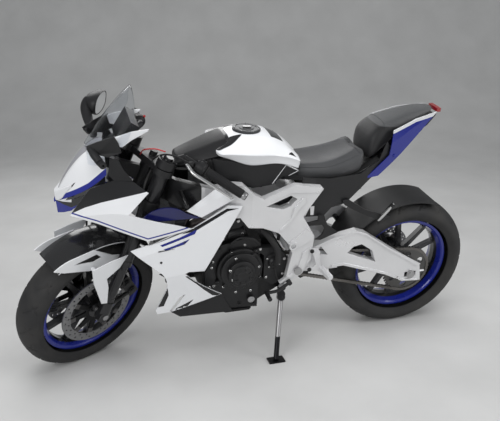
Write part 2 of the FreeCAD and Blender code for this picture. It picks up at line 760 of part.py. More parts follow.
def radiator():
    core = Part.makeBox(34, 300, 270, Vector(0, -150, 0))
    tanks = [Part.makeBox(40, 24, 280, Vector(-3, side, -5)) for side in (-172, 148)]
    shape = core.multiFuse(tanks)
    shape.rotate(Vector(0, 0, 0), Y_AXIS, -8)
    shape.translate(follow(1080, 0, 440))
    for y in (-94, 94):
        ear = Part.makeBox(14, 12, 60, follow(1040, y - 6, 700))
        shape = shape.fuse(ear.cut(doc.getObject("main_frame").Shape).Solids[0])
    stay = side_rod(1096, 500, 7, 160, 230).cut(panel_shape())
    stay = sorted(stay.Solids, key=lambda solid: solid.CenterOfMass.y)[0]
    shape = shape.multiFuse([stay, mirrored(stay)])
    feature("radiator", shape)


# Fork, wheel carriers and controls

def fork_leg():
    """Upside-down left leg: slider below, outer tube above, axle clamp at the foot."""
    y = size("fork_side")
    ahead = size("fork_offset")
    slider = rod(on_steering(-12, ahead, y), on_steering(330, ahead, y), size("fork_tube_radius"))
    outer = rod(on_steering(268, ahead, y), on_steering(718, ahead, y), size("fork_outer_radius"))
    collar = rod(on_steering(250, ahead, y), on_steering(274, ahead, y), size("fork_outer_radius") + 2)
    cap = rod(on_steering(718, ahead, y), on_steering(728, ahead, y), 20)
    foot = cross_rod(FRONT_AXLE.x, FRONT_AXLE.z, 27, y - 18, y + 18)
    lug = rod(on_steering(-20, ahead, y), on_steering(70, ahead, y), 25)
    shape = slider.multiFuse([outer, collar, cap, foot, lug])
    hole = size("front_axle_radius") + size("running_gap")
    bore = cross_rod(FRONT_AXLE.x, FRONT_AXLE.z, hole, y - 30, y + 30)
    return shape.cut(bore)


def front_axle():
    reach = size("fork_side") + 24
    x = FRONT_AXLE.x
    z = FRONT_AXLE.z
    shape = cross_rod(x, z, size("front_axle_radius"), -reach, reach)
    spacers = []
    for side in (-1, 1):
        low, high = sorted((side * 70.3, side * (size("fork_side") - 25)))
        spacers.append(cross_rod(x, z, 17, low, high))
    feature("front_axle", shape.multiFuse(spacers), "steering")


def yoke(name, up, thick, ahead_edge, back_edge):
    """Triple clamp plate across both legs and the stem."""
    side = size("fork_side")
    ahead = size("fork_offset")
    ring = size("fork_outer_radius") + 11
    low = on_steering(up, 0, 0)
    legs = [rod(on_steering(up, ahead, y), on_steering(up + thick, ahead, y), ring) for y in (side, -side)]
    centre = rod(low, on_steering(up + thick, 0, 0), 32)
    corners = [
        on_steering(up, ahead + ahead_edge, side), on_steering(up, ahead + ahead_edge, -side),
        on_steering(up, back_edge, -40), on_steering(up, back_edge, 40),
    ]
    web = Part.Face(Part.makePolygon(corners + corners[:1])).extrude(STEER_UP * thick)
    shape = centre.multiFuse(legs + [web])
    for y in (side, -side):
        hole = size("fork_outer_radius") + size("running_gap")
        bore = rod(on_steering(up - 5, ahead, y), on_steering(up + thick + 5, ahead, y), hole)
        shape = shape.cut(bore)
    return shape


def yokes():
    stem = rod(on_steering(500, 0, 0), on_steering(700, 0, 0), size("stem_radius"))
    feature("lower_yoke", yoke("lower", 505, 38, 26, -26).fuse(stem), "steering")
    upper = yoke("upper", 656, 24, 20, -26)
    hole = size("stem_radius") + size("running_gap")
    upper = upper.cut(rod(on_steering(640, 0, 0), on_steering(720, 0, 0), hole))
    feature("upper_yoke", upper, "steering")


def clip_on(name, side):
    """Handlebar half with its clamp, grip, switch box and lever."""
    fork = side * size("fork_side")
    ahead = size("fork_offset")
    low = on_steering(684, ahead, fork)
    high = on_steering(716, ahead, fork)
    clamp = rod(low, high, size("fork_outer_radius") + 9)
    hole = size("fork_outer_radius") + size("running_gap")
    root = follow(1146, side * 122, 962)
    elbow = root + Vector(-54, side * 16, 10)
    grip_start = elbow + Vector(-35, side * 62, -25)
    end = grip_start + Vector(-83, side * 150, -60)
    way = (end - grip_start).normalize()
    arm = rod(root, elbow, 13)
    bar = rod(elbow, end, 11)
    grip = rod(grip_start + way * 20, end, 16.5)
    weight = rod(end, end + way * 18, 14)
    switch = rod(grip_start - way * 22, grip_start + way * 16, 24)
    lever_root = grip_start - way * 30 + Vector(36, 0, 10)
    perch = rod(grip_start - way * 30, lever_root, 10)
    lever = pipe([lever_root, lever_root + way * 50 + Vector(24, 0, 0), end - way * 12 + Vector(56, 0, 8)], 6, 60)
    shape = clamp.multiFuse([arm, bar, grip, weight, switch, perch, lever])
    feature(name, shape.cut(rod(low - STEER_UP * 30, high + STEER_UP * 30, hole)), "steering")


def fender_arch(inner, wide):
    """Crowned strip over the tyre, from behind the fork to the front of the wheel."""
    over = Part.Arc(Vector(0, -wide, inner - 6), Vector(0, 0, inner + 10), Vector(0, wide, inner - 6))
    under = Part.Arc(Vector(0, wide, inner - 10), Vector(0, 0, inner + 6), Vector(0, -wide, inner - 10))
    right = Part.LineSegment(under.EndPoint, over.StartPoint)
    left = Part.LineSegment(over.EndPoint, under.StartPoint)
    section = Part.Face(Part.Wire([edge.toShape() for edge in (over, left, under, right)]))
    section.rotate(Vector(0, 0, 0), Y_AXIS, -52)
    arch = section.revolve(Vector(0, 0, 0), Y_AXIS, 84)
    arch.translate(Z_AXIS * 14)
    return arch


def front_fender():
    """Arch over the tyre, a slit wing down each side and a guard beside each fork foot."""
    wide = size("front_width") / 2 + 10
    arch = fender_arch(FRONT_RADIUS + 22, wide)
    blade = (
        (187, 307), (119, 330, 155, 322), (18, 332), (-66, 267), (-143, 231), (-128, 189), (-86, 186), (-39, 176),
        (17, 206), (22, 230), (146, 281),
    )
    slit = plate(((106, 300), (8, 306), (-14, 281), (20, 274)), -200, 200)
    guard = ((67, 300), (60, 228), (26, 104), (0, 93), (-5, 176), (3, 226), (-54, 255), (-91, 301), (-20, 306))
    sides = [plate(blade, low, low + 4).cut(slit) for low in (wide, -wide - 4)]
    fork_out = size("fork_side") + size("fork_outer_radius")
    guards = [plate(guard, low, low + 3.5) for low in (fork_out, -fork_out - 3.5)]
    tabs = [cross_rod(25, 242, 9, low, high) for low, high in ((wide, fork_out + 1), (-fork_out - 1, -wide))]
    shape = arch.multiFuse(sides + guards + tabs)
    shape.translate(FRONT_AXLE)
    boss = on_steering(190, size("fork_offset"), 0)
    for side in (-1, 1):
        low, high = sorted((side * wide, side * size("fork_side")))
        stay = cross_rod(boss.x, boss.z, 9, low, high)
        shape = shape.fuse(stay)
    shape = shape.cut(doc.getObject("fork_legs").Shape)
    feature("front_fender", sorted(shape.Solids, key=lambda solid: solid.Volume)[-1], "steering")


def caliper():
    """Left radial caliper, straddling the disc behind the fork foot."""
    plane = size("front_disc_side")
    radius = size("front_disc_radius")
    block = Part.makeBox(46, 50, 118, Vector(-23, -25, -59))
    gap = Part.makeBox(60, size("disc_thick") + 10, 200, Vector(-12, -size("disc_thick") / 2 - 7, -100))
    block = block.cut(gap)
    block.translate(Vector(-radius + 6, plane + 2, 0))
    block.rotate(Vector(0, 0, 0), Y_AXIS, 28)
    block.translate(FRONT_AXLE)
    for along in (-28, 28):
        lean = math.radians(28)
        spot = FRONT_AXLE + Vector((-radius + 6) * math.cos(lean), plane + 20, (radius - 6) * math.sin(lean))
        spot += Vector(math.sin(lean), 0, math.cos(lean)) * along
        bulge = Part.makeCylinder(17, 14, spot, Y_AXIS).fuse(Part.makeCylinder(11, 19, spot, Y_AXIS))
        block = block.fuse(bulge)
    outer = plane + 20
    for along in (-40, 40):
        start = FRONT_AXLE + Vector(-radius * 0.88 + along * 0.47, outer, along * 0.88 + 72)
        end = on_steering(along + 78, size("fork_offset"), size("fork_side"))
        lug = rod(start, end, 9)
        block = block.fuse(lug)
    block = block.cut(doc.getObject("fork_legs").Shape)
    return sorted(block.Solids, key=lambda solid: solid.Volume)[-1]


def calipers():
    pair("front_calipers", caliper(), "steering")


# Bodywork

SIDE_PANEL = (
    (1252, 613), (1155, 524), (1124, 420, 1119, 466), (1163, 324), (1156, 304), (1105, 308), (891, 365),
    (1048, 499, 967, 421), (1033, 506), (970, 500), (820, 763), (877, 769), (935, 737), (1018, 692), (1042, 695),
    (1173, 635), (1194, 633),
)
SIDE_SLIT = ((1067, 381), (1108, 312), (1100, 309), (1081, 334), (1044, 394))
# Panel lines from the top edge down, each with x, y, z of its points
SIDE_LINES = (
    ((800, 186, 790), (935, 192, 752), (1050, 198, 706), (1180, 194, 655), (1280, 184, 640)),
    ((800, 196, 755), (935, 206, 710), (1050, 212, 656), (1180, 208, 600), (1280, 196, 580)),
    ((800, 200, 560), (935, 212, 520), (1050, 216, 500), (1180, 210, 480), (1280, 196, 460)),
    ((800, 176, 300), (935, 184, 300), (1050, 188, 290), (1180, 184, 280), (1280, 172, 270)),
)
COWL_SIDE = (
    (1459, 785), (1382, 871, 1430, 822), (1292, 893), (1226, 880), (1178, 849), (1254, 775), (1145, 735), (1078, 714),
    (1019, 692), (1062, 682), (1187, 656), (1291, 708), (1366, 747),
)
# Cowl lines from the bottom edge up: under lip, crease, edge of the white side, inner edge of the black top
COWL_LINES = (
    ((1480, 186, 750), (1380, 194, 715), (1280, 200, 670), (1180, 204, 620), (1080, 206, 640), (980, 204, 650)),
    ((1480, 188, 778), (1380, 198, 783), (1280, 207, 781), (1180, 212, 748), (1080, 210, 716), (980, 206, 690)),
    ((1480, 187, 786), (1380, 189, 822), (1280, 190, 839), (1180, 190, 852), (1080, 192, 860), (980, 196, 870)),
    ((1480, 184, 800), (1380, 160, 872), (1280, 146, 893), (1180, 142, 884), (1080, 150, 890), (980, 160, 900)),
)
COVER_SIDE = ((1038, 766), (916, 856), (852, 804), (983, 736))
COVER_LINES = (
    ((1060, 188, 800), (940, 190, 890), (830, 192, 920)),
    ((1060, 202, 745), (940, 204, 800), (830, 204, 850)),
    ((1060, 204, 700), (940, 206, 720), (830, 206, 760)),
)
# Blue guide inside the opening of the side cowl
GUIDE_SIDE = ((1250, 724), (1204, 738), (1037, 747, 1122, 777), (981, 722))


@functools.lru_cache(maxsize=None)
def cowl_shape():
    return skin(COWL_LINES, size("panel_wall")).common(side_plate(COWL_SIDE, 0, 300))


@functools.lru_cache(maxsize=None)
def panel_shape():
    shape = skin(SIDE_LINES, size("panel_wall")).common(side_plate(SIDE_PANEL, 0, 300))
    return shape.cut(side_plate(SIDE_SLIT, 0, 300))


@functools.lru_cache(maxsize=None)
def upper_cover_shape():
    return skin(COVER_LINES, size("panel_wall")).common(side_plate(COVER_SIDE, 0, 300))


def guide_shape():
    boss = biggest(side_rod(1185, 736, 7, 180, 230).cut(cowl_shape()))
    return side_plate(GUIDE_SIDE, 176, 182).fuse(boss)


def pair(name, shape, group="frame"):
    """Left piece and its mirror image, as one node of two solids."""
    feature(name, Part.makeCompound([shape, mirrored(shape)]), group)


def bodywork():
    pair("side_panels", panel_shape().cut(cowl_shape()))
    pair("side_cowls", cowl_shape())
    pair("upper_covers", upper_cover_shape())
    pair("inner_guides", guide_shape())
    belly = ((1096, 276), (1055, 244), (828, 236), (864, 300), (877, 333))
    pair("belly_pan", side_plate(belly, 140.3, 144.3))


# Nose sections: x, half width at the lower edge, spine z, crease half width, crease z, lower edge z
NOSE_ROWS = (
    (1512, 8, 766, 4, 764, 756),
    (1480, 44, 836, 18, 832, 782),
    (1440, 84, 904, 32, 896, 812),
    (1385, 118, 972, 46, 958, 852),
    (1320, 140, 1004, 58, 984, 912),
)


@functools.lru_cache(maxsize=None)
def nose_solid(wall):
    """Body of the nose, or its hollow when a wall is given."""
    rings = []
    for x, half, spine, crease, crease_z, low in NOSE_ROWS:
        right = [(x - wall, -half + wall, low - wall), (x - wall, -crease, crease_z - wall)]
        left = [(x - wall, crease, crease_z - wall), (x - wall, half - wall, low - wall)]
        rings.append(right + [(x - wall, 0, spine - wall)] + left)
    return loft(rings, False)


def nose_cowl():
    """Shell from the nose tip back to the screen base, open below and behind."""
    shape = nose_solid(0)
    shape = shape.cut(nose_solid(size("panel_wall")))
    feature("nose_cowl", biggest(shape))


def inner_panels():
    """Panel behind each side of the nose, standing on the side cowl's upper edge."""
    side = ((1316, 915), (1306, 975), (1280, 975), (1258, 925), (1232, 890), (1226, 872), (1290, 884))
    pair("inner_panels", biggest(side_plate(side, 146, 150).cut(nose_solid(0)).cut(cowl_shape())))


def fairing_stay():
    """Bracket from the steering head to the nose, between the fork legs' sweeps."""
    corners = [on_steering(570, 20, -13), on_steering(630, 20, -13), on_steering(622, 196, -13),
               on_steering(588, 196, -13)]
    arm = Part.Face(Part.makePolygon(corners + corners[:1])).extrude(Y_AXIS * 26)
    arm = arm.cut(doc.getObject("main_frame").Shape)
    arm = sorted(arm.Solids, key=lambda solid: solid.Volume)[-1]
    bar = side_rod(1342, 938, 10, -170, 170).common(nose_solid(size("panel_wall") + 0.3))
    feature("fairing_stay", arm.fuse(bar))


def screen():
    """Double-bubble wind screen, open to the rear."""
    rows = ((1386, 88, 972, 930), (1320, 128, 1072, 936), (1255, 138, 1148, 1000), (1205, 104, 1196, 1110))
    rings = []
    for x, half, top, low in rows:
        rings.append([
            (x, half, low), (x, half * 0.72, low + (top - low) * 0.7), (x, half * 0.3, top), (x, -half * 0.3, top),
            (x, -half * 0.72, low + (top - low) * 0.7), (x, -half, low),
        ])
    outer = loft(rings)
    inner = outer.copy()
    inner.translate(Vector(-5, 0, -4))
    shell = outer.cut(inner).cut(nose_solid(0))
    for neighbour in ("mirror_right", "mirror_mount_left", "inner_panels"):
        shell = shell.cut(doc.getObject(neighbour).Shape)
    feature("wind_screen", sorted(shell.Solids, key=lambda solid: solid.Volume)[-1])


def cockpit():
    meter = Part.makeBox(34, 190, 100, Vector(0, -95, 0))
    meter.rotate(Vector(0, 0, 0), Y_AXIS, -32)
    meter.translate(follow(1246, 0, 985))
    side = ((1508, 800), (1440, 850), (1384, 890), (1322, 940), (1322, 850), (1400, 792), (1452, 738), (1502, 716))
    half_plan = ((1510, 12), (1480, 42), (1440, 66), (1380, 80), (1322, 86))
    plan = [follow(x, y, 0) for x, y in half_plan] + [follow(x, -y, 0) for x, y in half_plan[::-1]]
    beak = polygon([(place.x, place.y) for place in plan], "xy").extrude(Z_AXIS * 1000)
    duct = side_plate(side, -90, 90).common(beak).cut(nose_solid(0))
    duct = duct.cut(doc.getObject("fairing_stay").Shape)
    feature("front_duct", biggest(duct))
    foot = side_plate(((1250, 985), (1280, 1012), (1352, 962), (1352, 936), (1328, 936)), -15, 15)
    foot = foot.cut(doc.getObject("fairing_stay").Shape)
    feature("meter", meter.fuse(foot))


MIRROR_STUB = (follow(1344, 130, 962), follow(1332, 176, 962))


# Panel between the nose and the foot of the screen, on each side
MIRROR_BASE = ((1388, 880), (1388, 1000), (1385, 1026), (1324, 1051), (1272, 1007), (1274, 971), (1318, 956), (1318, 905))


def mirror_base():
    return biggest(side_plate(MIRROR_BASE, 126, 131).cut(nose_solid(0)))


def mirrors():
    """Right mirror on its bent stalk, and the left side's bare threaded stub."""
    base = mirror_base()
    route = [follow(1340, -62, 962), follow(1352, -255, 915), follow(1372, -292, 1000), follow(1318, -300, 1034)]
    stalk = pipe(route, 12, 22).cut(nose_solid(0))
    ring = Part.Ellipse(Vector(0, 0, 0), 76, 42).toShape()
    housing = Part.Face(Part.Wire([ring])).extrude(Z_AXIS * 30)
    front = [edge for edge in housing.Edges if abs(edge.CenterOfMass.z - 30) < 0.1]
    housing = housing.makeFillet(12, front)
    housing.rotate(Vector(0, 0, 0), Z_AXIS, 90)
    housing.rotate(Vector(0, 0, 0), Y_AXIS, 82)
    housing.rotate(Vector(0, 0, 0), Z_AXIS, -22)
    housing.translate(follow(1296, -300, 1037))
    feature("mirror_right", stalk.multiFuse([housing, mirrored(base)]))
    start, end = MIRROR_STUB
    stub = rod(start - (end - start) * 2, end, 13).cut(nose_solid(0)).fuse(base)
    hole = rod(end - (end - start).normalize() * size("mirror_hole_deep"), end + (end - start), size("m8_radius"))
    feature("mirror_mount_left", stub.cut(hole))


# Tank, seats and tail

TANK_ROWS = (
    # x, half width at the knee, half width at the top, top z, shoulder z, low z
    (582, 78, 46, 918, 898, 880),
    (640, 118, 66, 964, 925, 900),
    (720, 142, 84, 988, 940, 905),
    (800, 148, 92, 1016, 952, 908),
    (880, 140, 84, 1012, 972, 936),
    (950, 118, 70, 992, 970, 962),
)


def tank():
    rings = []
    for x, knee, top_half, top, shoulder, low in TANK_ROWS:
        rings.append([
            (x, knee * 0.86, low), (x, knee, shoulder), (x, top_half, top - 8), (x, top_half * 0.4, top),
            (x, -top_half * 0.4, top), (x, -top_half, top - 8), (x, -knee, shoulder), (x, -knee * 0.86, low),
        ])
    cap_foot = follow(757, 0, 994)
    tilt = Vector(-0.12, 0, 1)
    well = Part.makeCylinder(57.3, 40, cap_foot, tilt)
    feature("fuel_tank", loft(rings).cut(well))
    feature("filler_cap", Part.makeCylinder(57, 12, cap_foot, tilt))
    side = ((722, 800), (790, 806), (900, 842), (930, 860), (925, 925), (880, 936), (800, 908), (722, 905))
    knee = (
        (925, 936), (857, 924), (756, 898), (669, 918), (607, 940), (585, 916), (569, 873), (577, 842), (642, 842),
        (685, 809), (760, 802), (900, 844),
    )
    pads = [side_plate(knee, low, low + 8) for low in (116, -124)]
    base = side_plate(side, -118, 118).multiFuse(pads)
    for neighbour in ("main_frame", "fuel_tank"):
        base = base.cut(doc.getObject(neighbour).Shape)
    feature("tank_base", biggest(base))


# Airbox cover ahead of the tank: x, half width below, half width above, lower z, upper z
COVER_ROWS = (
    (1056, 68, 38, 952, 982),
    (1000, 94, 58, 946, 1002),
    (930, 116, 74, 944, 1018),
    (850, 124, 80, 940, 1020),
)


def tank_cover():
    rings = []
    for x, low_half, top_half, low, top in COVER_ROWS:
        rings.append([
            (x, low_half, low), (x, top_half, top - 6), (x, top_half * 0.4, top), (x, -top_half * 0.4, top),
            (x, -top_half, top - 6), (x, -low_half, low),
        ])
    cover = loft(rings, False)
    for under in ("fuel_tank", "filler_cap", "tank_base", "main_frame"):
        cover = cover.cut(doc.getObject(under).Shape)
    feature("tank_cover", biggest(cover))


def seats():
    rings = []
    for x, half, top, low in ((716, 84, 860, 818), (640, 100, 872, 806), (575, 112, 870, 798), (440, 132, 866, 794),
                              (300, 120, 892, 814), (268, 108, 915, 838)):
        rings.append([
            (x, half, low), (x, half, top - 22), (x, half * 0.8, top), (x, -half * 0.8, top), (x, -half, top - 22),
            (x, -half, low),
        ])
    feature("rider_seat", loft(rings).cut(doc.getObject("subframe").Shape).cut(doc.getObject("tank_base").Shape))
    rings = []
    for x, half, top, low in ((204, 92, 1000, 900), (120, 84, 1034, 980), (30, 66, 1056, 1015), (-60, 36, 1060, 1040)):
        rings.append([
            (x, half, low), (x, half, top - 14), (x, half * 0.7, top), (x, -half * 0.7, top), (x, -half, top - 14),
            (x, -half, low),
        ])
    pad = loft(rings)
    hump = []
    for x, half, top, low in ((268, 94, 952, 842), (230, 96, 996, 862), (200, 92, 1004, 890)):
        hump.append([(x, half, low), (x, half, top - 30), (x, half * 0.6, top), (x, -half * 0.6, top),
                     (x, -half, top - 30), (x, -half, low)])
    feature("pillion_seat", pad.fuse(loft(hump)))


# Lines of the left tail panel from its upper to its lower edge: x, y, z
TAIL_LINES = (
    ((330, 106, 1090), (170, 98, 1090), (60, 78, 1090), (-70, 46, 1090)),
    ((330, 124, 892), (170, 114, 948), (60, 90, 1008), (-70, 52, 1044)),
    ((330, 114, 750), (170, 106, 750), (60, 82, 750), (-70, 50, 750)),
)


def tail():
    side = ((63, 1036), (170, 999), (176, 894), (276, 800), (216, 806), (120, 890), (-46, 1052))
    panel = skin(TAIL_LINES, size("panel_wall")).common(side_plate(side, 0, 200))
    boss = side_rod(150, 889, 7, 76, 112)
    pair("tail_panels", biggest(panel.fuse(boss).cut(doc.getObject("subframe").Shape)))
    under = ((470, 716), (470, 780), (380, 784), (300, 806), (200, 862), (20, 990), (-54, 1034), (-20, 990), (140, 872), (300, 740))
    carrier = doc.getObject("subframe").Shape
    feature("undertail", side_plate(under, -44, 44).cut(carrier))
    lamp = Part.makeBox(18, 70, 16, Vector(-78, -35, 1042))
    feature("tail_lamp", lamp)


# Lines of the left cover below the seat, upper then lower: x, y, z
COVER_RUN = (
    ((600, 160, 880), (447, 143, 880), (302, 124, 890), (200, 109, 980), (140, 100, 1010)),
    ((600, 160, 640), (447, 147, 640), (302, 126, 690), (200, 106, 790), (140, 98, 850)),
)
SEAT_COVER_SIDE = (
    (568, 845), (447, 824), (302, 826), (218, 874), (192, 955), (166, 919), (180, 892), (240, 806), (350, 709),
    (413, 705), (457, 660), (540, 668), (520, 721), (470, 781), (568, 817),
)


def seat_covers():
    shape = skin(COVER_RUN, size("panel_wall")).common(side_plate(SEAT_COVER_SIDE, 0, 200))
    for neighbour in ("subframe", "main_frame", "rider_seat", "pillion_seat", "tail_panels", "passenger_pegs",
                      "undertail", "tank_base"):
        shape = shape.cut(doc.getObject(neighbour).Shape)
    pair("seat_covers", biggest(shape))


def hugger():
    """Guard over the front upper part of the rear tyre."""
    inner = REAR_RADIUS + 14
    wide = 95
    ring = cross_rod(0, 0, inner + 4, -wide, wide).cut(cross_rod(0, 0, inner, -wide - 1, wide + 1))
    wedge = [(0, 0)]
    for turn in (22, 55, 90, 112):
        angle = math.radians(turn)
        wedge.append((480 * math.cos(angle), 480 * math.sin(angle)))
    shape = ring.common(plate(wedge, -wide - 2, wide + 2))
    shape.translate(REAR_AXLE)
    x = inner * math.cos(math.radians(35))
    z = REAR_AXLE.z + inner * math.sin(math.radians(35))
    foot = cross_rod(x + 8, z, 12, wide - 4, size("arm_inner"))
    shape = shape.multiFuse([foot, mirrored(foot)])
    tread = cross_rod(REAR_AXLE.x, REAR_AXLE.z, inner, -200, 200)
    feature("rear_hugger", shape.cut(tread).cut(doc.getObject("swingarm").Shape))


# Foot controls and stand

def footrests():
    arms = (
        (484, 529), (472, 513), (470, 471), (458, 435), (434, 409), (408, 365), (418, 361), (454, 400), (477, 421),
        (514, 425), (528, 436), (495, 440), (486, 450), (494, 480), (505, 509), (520, 512), (520, 529),
    )
    bracket = side_plate(arms, 178, 186)
    peg = rod(Vector(456, 183, 428), Vector(450, 268, 432), 11)
    ribs = []
    for step in range(7):
        ribs.append(rod(Vector(455 - step * 0.7, 200 + step * 10, 428.8 + step * 0.5),
                        Vector(454.7 - step * 0.7, 204 + step * 10, 429 + step * 0.5), 13))
    screws = [side_rod(x, z, 7, 172, 191) for x, z in ((510, 520), (514, 431))]
    bracket = bracket.multiFuse([peg] + ribs + screws)
    pair("footrests", bracket.cut(doc.getObject("main_frame").Shape))
    heel = (
        (560, 640), (488, 651), (488, 675), (462, 670), (454, 648), (442, 625), (410, 600), (393, 585), (467, 557),
        (493, 560), (465, 579), (455, 605), (467, 628), (560, 628),
    )
    guard = side_plate(heel, 160, 166).cut(doc.getObject("main_frame").Shape)
    pair("heel_plates", biggest(guard))
    arm = ((378, 722), (351, 723), (272, 670), (179, 634), (148, 622), (186, 605), (268, 642), (366, 698))
    hanger = side_plate(arm, 140, 147)
    boss = side_rod(364, 711, 10, 108, 142)
    peg = rod(Vector(190, 143, 622), Vector(160, 178, 702), 9)
    shape = hanger.multiFuse([boss, peg]).cut(doc.getObject("subframe").Shape)
    pair("passenger_pegs", sorted(shape.Solids, key=lambda solid: solid.Volume)[-1])


def pedals():
    arm = pipe([Vector(600, 192, 380), Vector(650, 196, 348), Vector(704, 200, 346)], 7, 40)
    toe = rod(Vector(700, 194, 346), Vector(700, 248, 346), 9)
    pivot = side_rod(600, 380, 10, 178.3, 200)
    pair("foot_pedals", arm.multiFuse([toe, pivot]))


STAND_FOLDED = Vector(-0.97, 0.12, 0.2)


def stand_line():
    """Pivot centre, foot centre and pivot axis; the leg lies square to the axis, out and folded."""
    top = Vector(size("stand_x"), size("stand_y"), size("stand_z"))
    foot = Vector(size("stand_foot_x"), size("stand_foot_y"), stand_foot_height())
    return top, foot, (foot - top).cross(STAND_FOLDED).normalize()


def side_stand():
    """Leg from the pivot lug down to its foot, splayed to the left."""
    top, foot, axis = stand_line()
    leg = rod(top, foot, 11)
    eye = rod(top - axis * 9, top + axis * 9, 19)
    shape = leg.fuse(eye)
    pad = Part.makeBox(70, 46, 7, Vector(-35, -23, -7))
    pad.rotate(Vector(0, 0, 0), X_AXIS, size("lean"))
    pad.translate(foot)
    bore = rod(top - axis * 20, top + axis * 20, 6 + size("running_gap"))
    feature("side_stand", shape.fuse(pad).cut(bore), "side_stand")


def stand_bracket():
    """Fork of two ears with the pivot pin, on a lug under the frame plate."""
    top, foot, axis = stand_line()
    pin = rod(top - axis * 22, top + axis * 22, 6)
    ears = [rod(top + axis * low, top + axis * (low + 8), 17) for low in (-21, 13)]
    up = (top - foot).normalize()
    webs = []
    for low in (-21, 13):
        web = rod(top + axis * low + up * 12, top + axis * (low + 8) + up * 12, 17)
        webs.append(web)
    lug = rod(top + up * 42 - axis * 40, top + up * 42 + axis * 22, 17)
    shape = pin.multiFuse(ears + webs + [lug]).cut(doc.getObject("engine_case").Shape)
    feature("stand_bracket", sorted(shape.Solids, key=lambda solid: solid.Volume)[-1])


# Parked pose

def tyre_low(axle, spin, radius, width):
    """Lowest point of a tyre whose axle leans by spin."""
    tilt = abs(spin.z)
    upright = math.sqrt(1 - tilt ** 2)
    tall = radius - size("rim_radius")
    drops = []
    for wide, high in TYRE_SECTION:
        drops.append((radius - tall * (1 - high)) * upright + wide * width / 2 * tilt)
    return axle.z - max(drops)


def steering_turn():
    return Placement(Vector(0, 0, 0), Rotation(STEER_UP, size("lock")), STEER_POINT)


def parked(nose_down):
    """Lean about the tyres' line, with a small pitch about the rear axle."""
    pitch = Placement(Vector(0, 0, 0), Rotation(Y_AXIS, nose_down), REAR_AXLE)
    lean = Placement(Vector(0, 0, 0), Rotation(X_AXIS, -size("lean")), Vector(0, 0, 0))
    pose = lean * pitch
    rise = -tyre_low(pose.multVec(REAR_AXLE), pose.Rotation.multVec(Y_AXIS), REAR_RADIUS, size("rear_width"))
    return Placement(Vector(0, 0, rise), Rotation()) * pose


def settled():
    """Pitch at which the turned front tyre also meets the floor."""
    low, high = -3.0, 3.0
    turn = steering_turn()
    for step in range(60):
        middle = (low + high) / 2
        pose = parked(middle) * turn
        gap = tyre_low(pose.multVec(FRONT_AXLE), pose.Rotation.multVec(Y_AXIS), FRONT_RADIUS,
                       size("front_width"))
        if gap > 0:
            low = middle
        else:
            high = middle
    return parked((low + high) / 2)


PARKED = settled()


def stand_foot_height():
    """Height in the bike's axes at which the foot pad meets the floor."""
    spot = Vector(size("stand_foot_x"), size("stand_foot_y"), 0)
    base = PARKED.multVec(spot).z
    climb = PARKED.multVec(spot + Z_AXIS).z - base
    return (7 - base) / climb


def main():
    tyre("front_tyre", "front_wheel", FRONT_AXLE, "front_tall", "front_width")
    tyre("rear_tyre", "rear_wheel", REAR_AXLE, "rear_tall", "rear_width")
    rim("front_rim", "front_wheel", FRONT_AXLE, "front_width", "70", "front_axle_radius", "sizes.hub_radius")
    rim("rear_rim", "rear_wheel", REAR_AXLE, "rear_width", "112", "rear_axle_radius", "42")
    front_discs()
    rear_disc()
    rear_sprocket()
    chain()
    drive_sprocket()
    main_frame()
    swingarm()
    pivot_bolt()
    rear_axle()
    subframe()
    shock()
    engine_case()
    cylinder_head()
    generator_cover()
    clutch_cover()
    sprocket_cover()
    exhaust()
    radiator()
    pair("fork_legs", fork_leg(), "steering")
    front_axle()
    yokes()
    clip_on("handlebar_left", 1)
    clip_on("handlebar_right", -1)
    front_fender()
    calipers()
    bodywork()
    nose_cowl()
    inner_panels()
    fairing_stay()
    mirrors()
    screen()
    cockpit()
    tank()
    tank_cover()
    seats()
    tail()
    hugger()
    footrests()
    pedals()
    seat_covers()
    side_stand()
    stand_bracket()
    doc.recompute()
    write_parts()


def write_parts():
    """Put on the parked pose, check every object, then write one file per node."""
    shift = Placement(Vector(-size("origin_ahead"), -size("origin_side"), 0), Rotation())
    pose = shift * PARKED
    turned = pose * steering_turn()
    groups = {"frame": pose, "side_stand": pose, "rear_wheel": pose, "steering": turned, "front_wheel": turned}
    for piece, group in NODES:
        piece.Placement = groups[group] * piece.Placement
    doc.recompute()
    for item in doc.Objects:
        if "Invalid" in item.State or "Error" in item.State:
            sys.exit(f"{item.Name} failed: {item.State}")
    os.makedirs("parts", exist_ok=True)
    box = FreeCAD.BoundBox()
    for piece, group in NODES:
        shape = piece.Shape
        if shape.isNull() or not shape.isValid():
            sys.exit(f"{piece.Label} has no valid shape")
        box.add(shape.optimalBoundingBox(False, False))
        shape.exportStep(f"parts/{piece.Label}.step")
    print(f"{len(NODES)} nodes, box {box}")
    spool = Vector(size("spool_x"), size("arm_outer"), size("spool_z"))
    for name, point, axis in (
        ("steering", turned.multVec(STEER_POINT), pose.Rotation.multVec(STEER_UP)),
        ("front_wheel", turned.multVec(FRONT_AXLE), turned.Rotation.multVec(Y_AXIS)),
        ("rear_wheel", pose.multVec(REAR_AXLE), pose.Rotation.multVec(Y_AXIS)),
        ("side_stand", pose.multVec(stand_line()[0]), pose.Rotation.multVec(stand_line()[2])),
        ("left_mirror_thread", pose.multVec(MIRROR_STUB[1]),
         pose.Rotation.multVec((MIRROR_STUB[1] - MIRROR_STUB[0]).normalize())),
        ("paddock_thread_left", pose.multVec(spool), pose.Rotation.multVec(Y_AXIS)),
        ("paddock_thread_right", pose.multVec(spool - Y_AXIS * 2 * spool.y), pose.Rotation.multVec(-Y_AXIS)),
    ):
        print("at", name, [round(c / 1000, 6) for c in point], [round(c, 6) for c in axis])


main()
